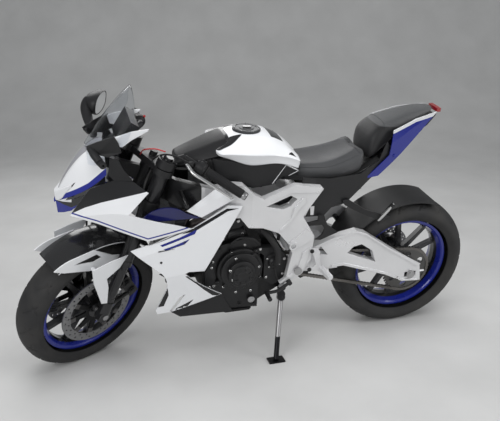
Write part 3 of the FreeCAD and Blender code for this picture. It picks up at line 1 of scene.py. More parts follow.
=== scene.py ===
import math
import bmesh
import bpy
from mathutils import Matrix, Vector
from mathutils.bvhtree import BVHTree
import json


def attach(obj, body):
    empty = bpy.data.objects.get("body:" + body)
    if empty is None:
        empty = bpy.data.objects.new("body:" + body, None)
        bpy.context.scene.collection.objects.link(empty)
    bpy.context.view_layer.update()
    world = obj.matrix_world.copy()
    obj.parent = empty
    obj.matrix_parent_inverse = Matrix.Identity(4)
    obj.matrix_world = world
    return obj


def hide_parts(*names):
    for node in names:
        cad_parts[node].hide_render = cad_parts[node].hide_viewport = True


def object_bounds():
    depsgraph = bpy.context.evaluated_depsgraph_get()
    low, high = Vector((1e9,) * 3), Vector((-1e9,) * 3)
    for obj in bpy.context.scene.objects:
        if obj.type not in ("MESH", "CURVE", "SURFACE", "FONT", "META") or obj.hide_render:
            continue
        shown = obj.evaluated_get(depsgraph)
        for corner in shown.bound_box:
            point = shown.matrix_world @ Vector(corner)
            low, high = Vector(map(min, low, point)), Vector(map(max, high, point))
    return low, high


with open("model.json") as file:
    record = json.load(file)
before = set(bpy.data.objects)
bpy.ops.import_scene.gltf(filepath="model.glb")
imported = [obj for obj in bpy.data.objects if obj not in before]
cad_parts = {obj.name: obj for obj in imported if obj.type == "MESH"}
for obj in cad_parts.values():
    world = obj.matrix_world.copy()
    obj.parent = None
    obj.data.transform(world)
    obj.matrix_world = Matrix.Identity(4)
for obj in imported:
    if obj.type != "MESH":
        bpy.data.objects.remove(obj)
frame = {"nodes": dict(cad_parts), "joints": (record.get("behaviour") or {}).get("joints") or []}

cad_low, cad_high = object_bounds()
scene = bpy.context.scene
joints = {joint["name"]: joint for joint in frame["joints"]}
nodes = frame["nodes"]

# Frames of the upright motorcycle and of its steered group, both in mm
RAKE = math.radians(22.58)
REST_LOCK = math.radians(30)
REAR_RADIUS = 315
SIDES = ((1, "left"), (-1, "right"))
UP = Vector((0, 0, 1))


def joint_axis(name):
    return Vector(joints[name]["axis"]).normalized()


side_axis = joint_axis("rear_wheel_spin")
steer_axis = joint_axis("steering_turn")
front_axis = joint_axis("front_wheel_spin")
rear_axle, front_axle, steer_point = (
    Vector(joints[name]["pos_m"]) for name in ("rear_wheel_spin", "front_wheel_spin", "steering_turn"))
ahead = side_axis.cross(steer_axis).normalized()
bike_x = math.cos(RAKE) * ahead - math.sin(RAKE) * steer_axis
bike_z = math.sin(RAKE) * ahead + math.cos(RAKE) * steer_axis
bike_y = bike_z.cross(bike_x)
BIKE = Matrix((bike_x, bike_y, bike_z)).transposed().to_4x4()
BIKE = Matrix.Translation(rear_axle) @ BIKE @ Matrix.Translation(Vector((0, 0, -REAR_RADIUS / 1000)))
LOCK = Matrix.Translation(steer_point) @ Matrix.Rotation(REST_LOCK, 4, steer_axis)
LOCK = LOCK @ Matrix.Translation(-steer_point) @ BIKE


def at(x, y, z):
    """Row-frame place in metres of a place of the upright bike in mm."""
    return BIKE @ Vector((x / 1000, y / 1000, z / 1000))


def steered(x, y, z):
    """The same for the steered group, drawn with the bars straight."""
    return LOCK @ Vector((x / 1000, y / 1000, z / 1000))


def way_of(x, y, z, place=at):
    """Row-frame direction of a direction in either frame."""
    return place(x, y, z) - place(0, 0, 0)


def turns(count):
    """Angles round a circle."""
    return [2 * math.pi * step / count for step in range(count)]


# Materials: every one is a node graph with variation and roughness, and all but the clear screen have bump

def fill(tree, made, inputs):
    """Link each socket and set each value."""
    for key, value in inputs.items():
        if isinstance(value, bpy.types.NodeSocket):
            tree.links.new(value, made.inputs[key])
        else:
            made.inputs[key].default_value = value


def node(tree, kind, inputs, output, **settings):
    """Output of a new node."""
    made = tree.nodes.new("ShaderNode" + kind)
    for key, value in settings.items():
        setattr(made, key, value)
    fill(tree, made, inputs)
    return made.outputs[output]


def graph(name):
    material = bpy.data.materials.new(name)
    material.use_nodes = True
    tree = material.node_tree
    return material, tree, tree.nodes["Principled BSDF"]


def coordinates(tree):
    return node(tree, "TexCoord", {}, "Object")


def noise(tree, scale, detail):
    return node(tree, "TexNoise", {"Scale": scale, "Detail": detail, "Vector": coordinates(tree)}, "Fac")


def ramp(tree, factor, low, high, start=0, end=1):
    """Value range: low at start, high at end."""
    limits = {"From Min": start, "From Max": end, "To Min": low, "To Max": high}
    return node(tree, "MapRange", {"Value": factor, **limits}, "Result")


def maths(tree, operation, first, second=0):
    return node(tree, "Math", {0: first, 1: second}, "Value", operation=operation)


def mix(tree, factor, first, second):
    """Blend of two colours, each a socket or three numbers."""
    inputs = {"Factor": factor}
    for key, value in ((6, first), (7, second)):
        inputs[key] = (*value, 1) if isinstance(value, tuple) else value
    return node(tree, "Mix", inputs, 2, data_type="RGBA")


def vectors(tree, operation, inputs, output="Vector"):
    return node(tree, "VectorMath", inputs, output, operation=operation)


def along(tree, origin, axis):
    """Distance in mm from a point along an axis."""
    moved = vectors(tree, "SUBTRACT", {0: coordinates(tree), 1: origin})
    return vectors(tree, "DOT_PRODUCT", {0: moved, 1: axis * 1000}, "Value")


def out_from(tree, origin, axis):
    """Distance in mm from an axis."""
    moved = vectors(tree, "SUBTRACT", {0: coordinates(tree), 1: origin})
    cross = vectors(tree, "CROSS_PRODUCT", {0: moved, 1: axis * 1000})
    return vectors(tree, "LENGTH", {0: cross}, "Value")


def ahead_by(tree, x):
    """Distance in mm ahead of a place."""
    return along(tree, at(x, 0, 0), bike_x)


def aside(tree):
    """Distance to either side of the middle plane."""
    return maths(tree, "ABSOLUTE", along(tree, at(0, 0, 0), bike_y))


BORDER = 0.6


def beyond(tree, value, limit):
    """1 where a value is over a limit, 0 below."""
    return ramp(tree, value, 0, 1, limit - BORDER, limit + BORDER)


def within(tree, value, limit, soft=BORDER):
    """1 where a value is under a limit, 0 above."""
    return ramp(tree, value, 1, 0, limit - soft, limit + soft)


CURVE_TOP = 1500


def over_line(tree, points, shift=0, wide=False):
    """1 above a line of (x, height) points, or outside one of (x, half width)."""
    height = aside(tree) if wide else along(tree, at(0, 0, 0), bike_z)
    first, last = points[0][0], points[-1][0]
    curve = tree.nodes.new("ShaderNodeFloatCurve")
    line = curve.mapping.curves[0]
    line.points[0].location = (0, points[0][1] / CURVE_TOP)
    line.points[1].location = (1, points[-1][1] / CURVE_TOP)
    for place, level in points[1:-1]:
        line.points.new((place - first) / (last - first), level / CURVE_TOP)
    for point in line.points:
        point.handle_type = "VECTOR"
    curve.mapping.update()
    tree.links.new(ramp(tree, ahead_by(tree, 0), 0, 1, first, last), curve.inputs["Value"])
    level = maths(tree, "MULTIPLY", curve.outputs["Value"], CURVE_TOP)
    return beyond(tree, maths(tree, "SUBTRACT", height, level), shift)


def bevel_normal(tree, radius):
    return node(tree, "Bevel", {"Radius": radius}, "Normal", samples=4)


def edge_wear(tree, radius):
    """1 on sharp edges, 0 on flats."""
    flat = node(tree, "NewGeometry", {}, "Normal")
    dot = vectors(tree, "DOT_PRODUCT", {0: bevel_normal(tree, radius), 1: flat}, "Value")
    return ramp(tree, dot, 1, 0, 0.8, 0.99)


def bump(tree, shader, height, strength, distance=0.001, first=None):
    inputs = {"Strength": strength, "Distance": distance, "Height": height}
    if first is not None:
        inputs["Normal"] = first
    normal = node(tree, "Bump", inputs, "Normal")
    tree.links.new(normal, shader.inputs["Normal"])
    return normal


def finish_of(name, colour, worn, rough, metallic, coat, grain, depth, dirt=0.25, edge=0,
              edge_colour=(0.5, 0.5, 0.5), specular=0.5, regions=(), rounding=0):
    """General finish: broad and fine variation, coloured regions, worn edges, grain."""
    material, tree, shader = graph(name)
    broad = noise(tree, 9, 5)
    tone = mix(tree, ramp(tree, broad, 0, dirt, 0.35, 0.75), colour, worn)
    for mask, other in regions:
        tone = mix(tree, mask(tree), tone, other)
    if edge > 0:
        patchy = ramp(tree, noise(tree, 60, 3), 0, edge * 2, 0.4, 0.7)
        tone = mix(tree, maths(tree, "MULTIPLY", edge_wear(tree, 0.0015), patchy), tone, edge_colour)
    fill(tree, shader, {"Base Color": tone, "Metallic": metallic, "Specular IOR Level": specular,
                        "Roughness": ramp(tree, broad, *rough, 0.3, 0.7)})
    if coat > 0:
        fill(tree, shader, {"Coat Weight": coat, "Coat Roughness": 0.05})
    bump(tree, shader, noise(tree, grain, 3), depth, 0.0004, bevel_normal(tree, rounding) if rounding else None)
    return material


WHITE_TONE, WHITE_WORN = (0.8, 0.81, 0.83), (0.72, 0.73, 0.75)
BLUE_TONE, BLUE_WORN = (0.012, 0.02, 0.24), (0.018, 0.03, 0.3)
BLACK_TONE = (0.008, 0.008, 0.009)
DARK_TONE = (0.014, 0.014, 0.015)


def paint(name, colour, worn, regions=(), metallic=0):
    return finish_of(
        name, colour, worn, (0.14, 0.26), metallic, 0.4, 900, 0.02, 0.35, regions=regions, rounding=0.002)


def white(name, regions=()):
    return paint(name, WHITE_TONE, WHITE_WORN, regions)


WHITE = white("white_paint")
BLUE = paint("blue_paint", BLUE_TONE, BLUE_WORN, metallic=0.3)
GLOSS = finish_of(
    "gloss_black", BLACK_TONE, (0.016, 0.016, 0.017), (0.16, 0.3), 0, 0.25, 900, 0.03, 0.35, specular=0.35,
    rounding=0.002)
# Blue paint of the inner guides, made much darker than the body's blue: painted shade for guides set back inside the
# fairing
SHADED_BLUE = paint("blue_paint_painted_shade", (0.004, 0.006, 0.08), (0.008, 0.012, 0.13))
GREY = paint("grey_paint", (0.13, 0.13, 0.14), (0.2, 0.2, 0.21), metallic=0.4)

COWL_TOP = ((980, 872), (1080, 862), (1180, 854), (1272, 840), (1349, 827), (1407, 812), (1448, 795), (1480, 786))
COWL_FOOT = ((1019, 692), (1062, 682), (1187, 656), (1291, 708), (1366, 747), (1459, 785))
NOSE_FOOT = ((1320, 912), (1385, 852), (1440, 812), (1480, 782), (1512, 756))
# Half width of the crease over the nose
NOSE_CREASE = ((1320, 46), (1385, 34), (1440, 19), (1480, 7), (1512, 1))


def between(points, low, high):
    """Band between two distances above a line."""
    return lambda tree: maths(tree, "SUBTRACT", over_line(tree, points, low), over_line(tree, points, high))


def above(points, shift=0):
    return lambda tree: over_line(tree, points, shift)


def below(points, wide=False):
    """Under a line, or along the middle plane inside one of (x, half width) points."""
    return lambda tree: maths(tree, "SUBTRACT", 1, over_line(tree, points, wide=wide))


COWL_PAINT = white("cowl_paint", (
    (above(COWL_TOP), BLACK_TONE),
    (between(COWL_FOOT, 9, 15), BLUE_TONE),
))
NOSE_PAINT = white("nose_paint", (
    (below(NOSE_CREASE, True), (0.3, 0.3, 0.32)),
    (between(NOSE_FOOT, -4, 17), BLUE_TONE),
))
TAIL_PAINT = paint("tail_paint", BLUE_TONE, BLUE_WORN, (
    (above(((-60, 1052), (63, 1036), (170, 999)), -13), WHITE_TONE),
), 0.3)
TANK_LINE = ((760, 1040), (786, 1004), (811, 995), (850, 979), (880, 968), (915, 955), (960, 950))


def tank_front(tree):
    """Scoops on both sides of the tank's front, and all ahead of the filler."""
    split = maths(tree, "MAXIMUM", beyond(tree, ahead_by(tree, 846), 0), beyond(tree, aside(tree), 50))
    return maths(tree, "MULTIPLY", split, over_line(tree, TANK_LINE))


def tank_pad(tree):
    """Dark pad over the tank's rear edge, against the rider."""
    start, end = beyond(tree, ahead_by(tree, 624), 0), within(tree, ahead_by(tree, 676), 0)
    rear = maths(tree, "MULTIPLY", end, start)
    return maths(tree, "MULTIPLY", rear, within(tree, aside(tree), 56.6))


TANK_PAINT = white("tank_paint", ((tank_front, BLACK_TONE), (tank_pad, (0.02, 0.021, 0.023))))


def silver(name, **values):
    return finish_of(
        name, (0.74, 0.74, 0.75), (0.64, 0.64, 0.65), (0.26, 0.4), 0.4, 0.25, 700, 0.1, 0.5, rounding=0.003, **values)


SILVER = silver("silver_frame", edge=0.25, edge_colour=(0.82, 0.82, 0.82))
FRAME = silver("painted_frame", regions=((lambda tree: beyond(tree, ahead_by(tree, 972), 0), DARK_TONE),))
STEEL = finish_of(
    "steel", (0.45, 0.45, 0.46), (0.3, 0.29, 0.28), (0.25, 0.42), 1, 0, 500, 0.2, 0.6, 0.2, (0.8, 0.8, 0.8),
    rounding=0.001)
DARK_STEEL = finish_of(
    "dark_steel", (0.12, 0.118, 0.115), (0.08, 0.078, 0.075), (0.28, 0.45), 0.9, 0, 500, 0.2, 0.6, 0.2,
    (0.4, 0.4, 0.4))
BRIGHT = finish_of("bright_steel", (0.7, 0.7, 0.7), (0.5, 0.49, 0.48), (0.18, 0.3), 1, 0, 600, 0.15, 0.6)
METAL = finish_of(
    "black_metal", (0.01, 0.01, 0.011), (0.026, 0.025, 0.025), (0.32, 0.48), 0, 0, 900, 0.25, 0.25, 0.3,
    (0.16, 0.16, 0.16), specular=0.4, rounding=0.0015)
ENGINE = finish_of(
    "engine_black", (0.011, 0.011, 0.012), (0.03, 0.029, 0.028), (0.32, 0.5), 0.1, 0, 1100, 0.5, 0.25, 0.3,
    (0.12, 0.12, 0.12), specular=0.4, rounding=0.002)
PLASTIC = finish_of(
    "black_plastic", (0.011, 0.011, 0.012), (0.026, 0.026, 0.027), (0.4, 0.56), 0, 0, 1600, 0.4, 0.25, 0.15,
    (0.06, 0.06, 0.06), specular=0.4, rounding=0.002)
RUBBER = finish_of(
    "tyre_rubber", (0.02, 0.02, 0.021), (0.055, 0.053, 0.05), (0.62, 0.82), 0, 0, 700, 0.5, 0.7, specular=0.35)
SOFT = finish_of(
    "grip_rubber", (0.015, 0.015, 0.016), (0.035, 0.034, 0.033), (0.6, 0.75), 0, 0, 1400, 0.5, 0.6, specular=0.3)
RED = finish_of("red_sleeve", (0.45, 0.02, 0.02), (0.3, 0.015, 0.015), (0.35, 0.5), 0, 0, 900, 0.2)


def rim_paint(name, axle, axis, edge):
    """Black spokes and hub, blue barrel and flange."""
    barrel = lambda tree: beyond(tree, out_from(tree, axle, axis), edge)
    return finish_of(name, (0.012, 0.012, 0.014), (0.03, 0.03, 0.031), (0.22, 0.38), 0.1, 0.4, 900, 0.12, 0.25,
                     regions=((barrel, (0.012, 0.022, 0.27)),), rounding=0.002)


RIM_EDGE = 203
FRONT_RIM = rim_paint("front_rim_paint", front_axle, front_axis, RIM_EDGE)
REAR_RIM = rim_paint("rear_rim_paint", rear_axle, side_axis, RIM_EDGE)


def disc_steel(name, axle, axis, carrier, swept):
    """Ground steel where the pads reach, darker inside, black carrier."""
    ring = lambda tree: within(tree, out_from(tree, axle, axis), carrier)
    bright = lambda tree: beyond(tree, out_from(tree, axle, axis), swept)
    return finish_of(name, (0.13, 0.125, 0.125), (0.09, 0.085, 0.085), (0.24, 0.4), 0.85, 0, 300, 0.25, 0.7,
                     regions=((bright, (0.26, 0.26, 0.265)), (ring, (0.012, 0.012, 0.013))))


FRONT_DISC = disc_steel("front_disc_steel", front_axle, front_axis, 100, 122)
REAR_DISC = disc_steel("rear_disc_steel", rear_axle, side_axis, 60, 84)
CHAIN = finish_of(
    "chain_steel", (0.2, 0.19, 0.18), (0.08, 0.075, 0.07), (0.35, 0.5), 1, 0, 900, 0.3, 0.8, 0.4,
    (0.6, 0.6, 0.58))
EXHAUST = finish_of("exhaust_steel", (0.3, 0.27, 0.24), (0.16, 0.12, 0.14), (0.28, 0.45), 1, 0, 400, 0.2, 0.9)
LAMP = finish_of("lamp_red", (0.25, 0.008, 0.008), (0.4, 0.02, 0.02), (0.1, 0.2), 0, 0.8, 400, 0.2)
GLASS = finish_of("lamp_glass", (0.012, 0.013, 0.016), (0.03, 0.032, 0.036), (0.04, 0.1), 0, 1, 900, 0.02)
MIRROR = finish_of("mirror_silver", (0.85, 0.86, 0.87), (0.8, 0.81, 0.82), (0.02, 0.05), 1, 0, 40, 0.01)
FORK = finish_of(
    "fork_tube", (0.018, 0.018, 0.02), (0.05, 0.05, 0.05), (0.22, 0.36), 0.5, 0.3, 700, 0.1, 0.25, 0.3,
    (0.3, 0.3, 0.3))
CAP = finish_of("cap_metal", (0.05, 0.052, 0.055), (0.09, 0.09, 0.092), (0.3, 0.45), 0.5, 0, 600, 0.15, 0.5)
# Side stand steel, painted near black below 96 mm height: a painted shadow over the leg's lower half
STAND = finish_of(
    "stand_steel_painted_shadow", (0.42, 0.42, 0.43), (0.3, 0.29, 0.28), (0.3, 0.45), 0.9, 0, 500, 0.2, 0.5,
    regions=((lambda tree: within(tree, along(tree, Vector(), UP), 96, 1), (0.02, 0.02, 0.022)),))


def fender_middle(tree):
    """Dark middle of the front fender, between its white sides."""
    across = along(tree, steered(0, 0, 0), way_of(0, 1, 0, steered).normalized())
    return within(tree, maths(tree, "ABSOLUTE", across), 69.5, 0.3)


FENDER = white("fender_paint", ((fender_middle, DARK_TONE),))
BEAK = paint("beak_paint", BLUE_TONE, BLUE_WORN, (
    (above(((1300, 800), (1400, 780), (1452, 752), (1515, 770))), (0.014, 0.015, 0.018)),
    (above(((1300, 990), (1444, 845), (1449, 774), (1515, 768))), WHITE_TONE),
))


def radiator_core():
    """Black core with fine upright fins, deeper between its tubes."""
    material, tree, shader = graph("radiator_core")
    fins, tubes = (node(tree, "TexWave", {"Scale": scale, "Vector": coordinates(tree)}, "Fac", bands_direction=axis)
                   for scale, axis in ((110, "Y"), (26, "Z")))
    tone = mix(tree, fins, (0.012, 0.012, 0.013), (0.05, 0.05, 0.052))
    fill(tree, shader, {"Base Color": mix(tree, tubes, tone, (0.03, 0.03, 0.031)), "Metallic": 0.4,
                        "Roughness": ramp(tree, noise(tree, 30, 3), 0.35, 0.55)})
    bump(tree, shader, fins, 0.5)
    return material


RADIATOR = radiator_core()


def leather(name, colour, worn, regions=()):
    """Grained vinyl with fine pores."""
    material, tree, shader = graph(name)
    broad = noise(tree, 7, 4)
    tone = mix(tree, ramp(tree, broad, 0, 1, 0.3, 0.7), colour, worn)
    for mask, other in regions:
        tone = mix(tree, mask(tree), tone, other)
    fill(tree, shader, {"Base Color": tone, "Sheen Weight": 0.08,
                        "Roughness": ramp(tree, broad, 0.42, 0.6, 0.3, 0.7)})
    pores = node(tree, "TexVoronoi", {"Scale": 620, "Vector": coordinates(tree)}, "Distance",
                 feature="DISTANCE_TO_EDGE")
    first = bump(tree, shader, ramp(tree, pores, 0, 1, 0, 0.25), 0.35, 0.0005)
    bump(tree, shader, noise(tree, 60, 3), 0.12, 0.001, first)
    return material


PILLION_LINE = ((-60, 1010), (120, 1000), (170, 1004), (240, 1004), (300, 1000))
SEAT = leather("seat_vinyl", (0.04, 0.041, 0.044), (0.058, 0.059, 0.062))
PILLION = leather("pillion_vinyl", (0.055, 0.057, 0.06), (0.078, 0.08, 0.083), (
    (below(PILLION_LINE), (0.01, 0.01, 0.011)),
))


def clear_screen():
    material, tree, shader = graph("clear_screen")
    haze = noise(tree, 6, 3)
    tone = mix(tree, ramp(tree, haze, 0, 1, 0.3, 0.7), (0.93, 0.94, 0.96), (0.88, 0.9, 0.92))
    fill(tree, shader, {"Transmission Weight": 1, "IOR": 1.12, "Base Color": tone,
                        "Roughness": ramp(tree, haze, 0.02, 0.06, 0.3, 0.7)})
    return material


SCREEN = clear_screen()

FINISH = {name: material for material, names in (
    (RUBBER, "front_tyre rear_tyre"), (FRONT_RIM, "front_rim"), (REAR_RIM, "rear_rim"), (FRONT_DISC, "front_discs"),
    (REAR_DISC, "rear_disc"), (DARK_STEEL, "rear_sprocket"), (CHAIN, "chain"), (FORK, "fork_legs"),
    (STEEL, "drive_sprocket front_axle pivot_bolt rear_axle"), (FENDER, "front_fender"), (STAND, "side_stand"),
    (METAL, "lower_yoke upper_yoke handlebar_left handlebar_right front_calipers subframe rear_shock"),
    (METAL, "fairing_stay filler_cap passenger_pegs foot_pedals stand_bracket heel_plates"),
    (FRAME, "main_frame"), (SILVER, "swingarm footrests"), (EXHAUST, "exhaust"), (RADIATOR, "radiator"),
    (ENGINE, "engine_case cylinder_head generator_cover clutch_cover"), (WHITE, "side_panels upper_covers fuel_tank"),
    (PLASTIC, "sprocket_cover belly_pan meter mirror_right mirror_mount_left tank_base undertail rear_hugger"),
    (PLASTIC, "inner_panels seat_covers"), (COWL_PAINT, "side_cowls"), (SHADED_BLUE, "inner_guides"),
    (NOSE_PAINT, "nose_cowl"), (SCREEN, "wind_screen"), (BEAK, "front_duct"), (GLOSS, "tank_cover"),
    (SEAT, "rider_seat"), (PILLION, "pillion_seat"), (TAIL_PAINT, "tail_panels"), (LAMP, "tail_lamp"),
) for name in names.split()}
for name, cad in nodes.items():
    if cad.material_slots:
        for slot in cad.material_slots:
            slot.material = FINISH[name]
    else:
        cad.data.materials.append(FINISH[name])


# Mesh helpers

def placed(name, data):
    """Object of some data, put in the scene."""
    made = bpy.data.objects.new(name, data)
    scene.collection.objects.link(made)
    return made


def linked(name, mesh, material, body="frame"):
    """Object of a mesh, riding with a body."""
    mesh.materials.append(material)
    made = placed(name, mesh)
    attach(made, body)
    return made


def shade_smooth(mesh):
    for face in mesh.polygons:
        face.use_smooth = True


def mesh_of(name, points, faces, smooth=True):
    mesh = bpy.data.meshes.new(name)
    mesh.from_pydata([tuple(point) for point in points], [], faces)
    mesh.update()
    if smooth:
        shade_smooth(mesh)
    return mesh


def mesh_object(name, points, faces, material, body="frame", smooth=True):
    return linked(name, mesh_of(name, points, faces, smooth), material, body)


def modify(made, kind, **values):
    modifier = made.modifiers.new(kind.lower(), kind)
    for key, value in values.items():
        setattr(modifier, key, value)
    return modifier


def subdivide(made, levels):
    modify(made, "SUBSURF", levels=levels, render_levels=levels)


def sheet(name, spots, material, thickness, side, soften=0):
    """Flat plate through some places, grown inwards from them."""
    made = mesh_object(name, spots, [tuple(range(len(spots)))[::side]], material, smooth=False)
    modify(made, "SOLIDIFY", thickness=thickness, offset=-1)
    if soften:
        modify(made, "BEVEL", width=soften, segments=2)


def grid(levels, count, base=0):
    """Faces between open rows of points."""
    return [(low + step, low + step + 1, low + count + step + 1, low + count + step)
            for low in range(base, base + (levels - 1) * count, count) for step in range(count - 1)]


def bands(levels, count, base=0, flipped=False):
    """Faces between rings of points, from one ring to the next."""
    faces = []
    for low in range(base, base + (levels - 1) * count, count):
        for step in range(count):
            after = (step + 1) % count
            face = (low + step, low + after, low + count + after, low + count + step)
            faces.append((face[0], *face[:0:-1]) if flipped else face)
    return faces


def skin(rings, flipped=False):
    """Points and faces of a body through rings, closed at each end."""
    count = len(rings[0])
    start = tuple(range(count))
    end = tuple((len(rings) - 1) * count + step for step in range(count))
    faces = bands(len(rings), count, 0, flipped)
    faces += [start, end[::-1]] if flipped else [start[::-1], end]
    return [spot for ring in rings for spot in ring], faces


def closed_body(rings):
    """The same through rings of bike places."""
    return skin([[at(*spot) for spot in ring] for ring in rings], True)


def whole(half, foot):
    """Ring of bike places from its left half, top last, and a height below."""
    return half + [(x, -y, z) for x, y, z in half[-2::-1]] + [(half[0][0], 0, foot)]


# Tyres with a moulded road tread

def tyre(name, body, axle, axis, bead, height, half):
    """Round-shouldered tyre with swept grooves; bead radius, height and half width in mm."""
    first = (UP - axis * UP.dot(axis)).normalized()
    second = axis.cross(first)
    around = 432
    across = 56
    row = across + 1
    wrap = math.radians(112)
    fullness = 0.85
    bead_pinch = 0.35
    points = []
    for turn in turns(around):
        spoke = first * math.cos(turn) + second * math.sin(turn)
        for place in range(row):
            share = 2 * place / across - 1
            out = math.cos(share * wrap)
            side = math.sin(share * wrap)
            reach = bead + height * (0.5 + (0.5 if out > 0 else 0.8) * out)
            wide = half * math.copysign(abs(side) ** fullness, side)
            if out < 0:
                wide *= 1 + bead_pinch * out
            depth = groove(turn, share)
            points.append(axle + (spoke * (reach - depth) + axis * (wide * (1 - depth / 260))) / 1000)
    faces = []
    for step in range(around):
        low, high = step * row, (step + 1) % around * row
        for place in range(across):
            faces.append((low + place, low + place + 1, high + place + 1, high + place))
    made = mesh_object(name, points, faces, RUBBER, body)
    modify(made, "SOLIDIFY", thickness=0.006, offset=-1)
    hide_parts(name.replace("_road", ""))


def groove(turn, share):
    """Depth of the tread's grooves at a place of the crown."""
    blocks = 18
    long_groove, short_groove = 4.0, 3.0
    pitch = 2 * math.pi / blocks
    local = (turn + 0.42 * abs(share) + (0.5 * pitch if share > 0 else 0)) % pitch / pitch
    deep = 0
    if 0.06 < abs(share) < 0.5:
        width = 0.05 + 0.05 * abs(share)
        gap = abs(local - 0.5)
        if gap < width:
            deep = long_groove * (1 - (gap / width) ** 2)
    second = (turn - 0.3 * abs(share) + (0.25 * pitch if share > 0 else 0.75 * pitch)) % pitch / pitch
    if 0.26 < abs(share) < 0.58 and abs(second - 0.5) < 0.05:
        deep = max(deep, short_groove)
    return deep


# Round pieces, tubes, screws and strips

def ring_frame(way):
    """Two directions square to a way."""
    side = way.cross(UP)
    if side.length < 0.1:
        side = way.cross(Vector((1, 0, 0)))
    side.normalize()
    return side, way.cross(side).normalized()


def lathe(name, foot, way, profile, material, body="frame", around=48):
    """Profile of (height, radius) points in mm turned round a way from a foot."""
    way = way.normalized()
    side, other = ring_frame(way)
    points = [foot + way * (height / 1000) + (side * math.cos(turn) + other * math.sin(turn)) * (radius / 1000)
              for height, radius in profile for turn in turns(around)]
    made = mesh_object(name, points, bands(len(profile), around), material, body)
    modify(made, "EDGE_SPLIT", split_angle=math.radians(38))
    return made


def smooth_path(points, steps):
    """Points along a smooth curve through the given ones."""
    ends = [points[0] * 2 - points[1]] + list(points) + [points[-1] * 2 - points[-2]]
    path = []
    for index in range(1, len(ends) - 2):
        before, start, end, after = ends[index - 1:index + 3]
        for step in range(steps):
            t = step / steps
            path.append(0.5 * (2 * start + (end - before) * t + (2 * before - 5 * start + 4 * end - after) * t * t
                               + (3 * start - before - 3 * end + after) * t ** 3))
    path.append(points[-1])
    return path


def tube(name, points, radius, material, body="frame", around=12, flat=1, steps=8):
    """Bent tube through places in mm; one radius, or one for each place."""
    place = steered if body == "steering" else at
    path = smooth_path([place(*point) for point in points], steps)
    radii = [radius] * len(points) if isinstance(radius, (int, float)) else list(radius)
    rings = []
    side = None
    for index, spot in enumerate(path):
        way = (path[min(index + 1, len(path) - 1)] - path[max(index - 1, 0)]).normalized()
        if side is None:
            side = ring_frame(way)[0]
        side = (side - way * side.dot(way)).normalized()
        other = way.cross(side)
        share = index / steps
        low = min(int(share), len(radii) - 1)
        high = min(low + 1, len(radii) - 1)
        wide = (radii[low] + (radii[high] - radii[low]) * (share - low)) / 1000
        rings.append([spot + side * (wide * math.cos(turn)) + other * (wide * flat * math.sin(turn))
                      for turn in turns(around)])
    return mesh_object(name, *skin(rings), material, body)


SOCKET = 0.5
SCREW_PROFILE = (
    (-1, 1.25), (0.12, 1.25), (0.16, 1), (0.86, 1), (1, 0.86), (1, SOCKET), (0.45, SOCKET), (0.45, 0))


def screws(name, places, way, radius, height, material):
    """Cap screws with sockets, all in one piece."""
    points = []
    faces = []
    around = 18
    out = way_of(*way).normalized()
    side, other = ring_frame(out)
    for spot in places:
        faces += bands(len(SCREW_PROFILE), around, len(points))
        for level, wide in SCREW_PROFILE:
            for turn in turns(around):
                reach = wide * radius / 1000
                if wide == SOCKET:
                    reach *= 1 / max(math.cos((turn % (math.pi / 3)) - math.pi / 6), 0.1)
                points.append(at(*spot) + out * (level * height / 1000)
                              + (side * math.cos(turn) + other * math.sin(turn)) * reach)
    mesh_object(name, points, faces, material, smooth=False)


def circle(count, x, z, radius):
    """(x, z) places round a centre."""
    return [(x + radius * math.cos(turn), z + radius * math.sin(turn)) for turn in turns(count)]


def surface_of(names):
    """Ray-cast tree over the surfaces of several objects."""
    points = []
    faces = []
    graph_of = bpy.context.evaluated_depsgraph_get()
    for name in names:
        source = nodes[name] if name in nodes else bpy.data.objects[name]
        shape = source.evaluated_get(graph_of).to_mesh()
        base = len(points)
        points += [source.matrix_world @ vertex.co for vertex in shape.vertices]
        faces += [tuple(base + index for index in face.vertices) for face in shape.polygons]
    return BVHTree.FromPolygons(points, faces)


def stripe(name, outline, material, source="side_panels", cell=6.0):
    """Flat outline of (x, z) points laid on both sides of a piece, cut to small cells."""
    reach = 0.4
    lift = 0.0005
    longest = 0.03
    tree = surface_of([source])
    for side, word in SIDES:
        work = bmesh.new()
        face = work.faces.new([work.verts.new((x, 0, z)) for x, z in outline])
        bmesh.ops.triangulate(work, faces=[face])
        for axis, values in ((Vector((1, 0, 0)), [x for x, z in outline]), (UP, [z for x, z in outline])):
            low = min(values)
            for step in range(1, int((max(values) - low) / cell) + 1):
                everything = work.verts[:] + work.edges[:] + work.faces[:]
                bmesh.ops.bisect_plane(work, geom=everything, plane_co=axis * (low + step * cell), plane_no=axis)
        out = way_of(0, side, 0).normalized()
        for vertex in work.verts:
            hit = tree.ray_cast(at(vertex.co.x, 0, vertex.co.z) + out * reach, -out, reach)[0]
            vertex.co = (hit if hit is not None else Vector()) + out * lift
            vertex.tag = hit is None
        bmesh.ops.delete(work, geom=[vertex for vertex in work.verts if vertex.tag], context="VERTS")
        long = [face for face in work.faces if max(edge.calc_length() for edge in face.edges) > longest]
        bmesh.ops.delete(work, geom=long, context="FACES")
        mesh = bpy.data.meshes.new(f"{name}_{word}")
        work.to_mesh(mesh)
        work.free()
        shade_smooth(mesh)
        made = linked(f"{name}_{word}", mesh, material)
        modify(made, "SOLIDIFY", thickness=0.0006, offset=1)


# Soft and smooth bodies

def apply_all(made):
    """Replace an object's mesh by what its modifiers make of it."""
    shape = bpy.data.meshes.new_from_object(made.evaluated_get(bpy.context.evaluated_depsgraph_get()))
    made.modifiers.clear()
    made.data = shape


PUFF_CELL = 0.0055
PUFF_PRESSURE = 4
PUFF_FRAMES = 20


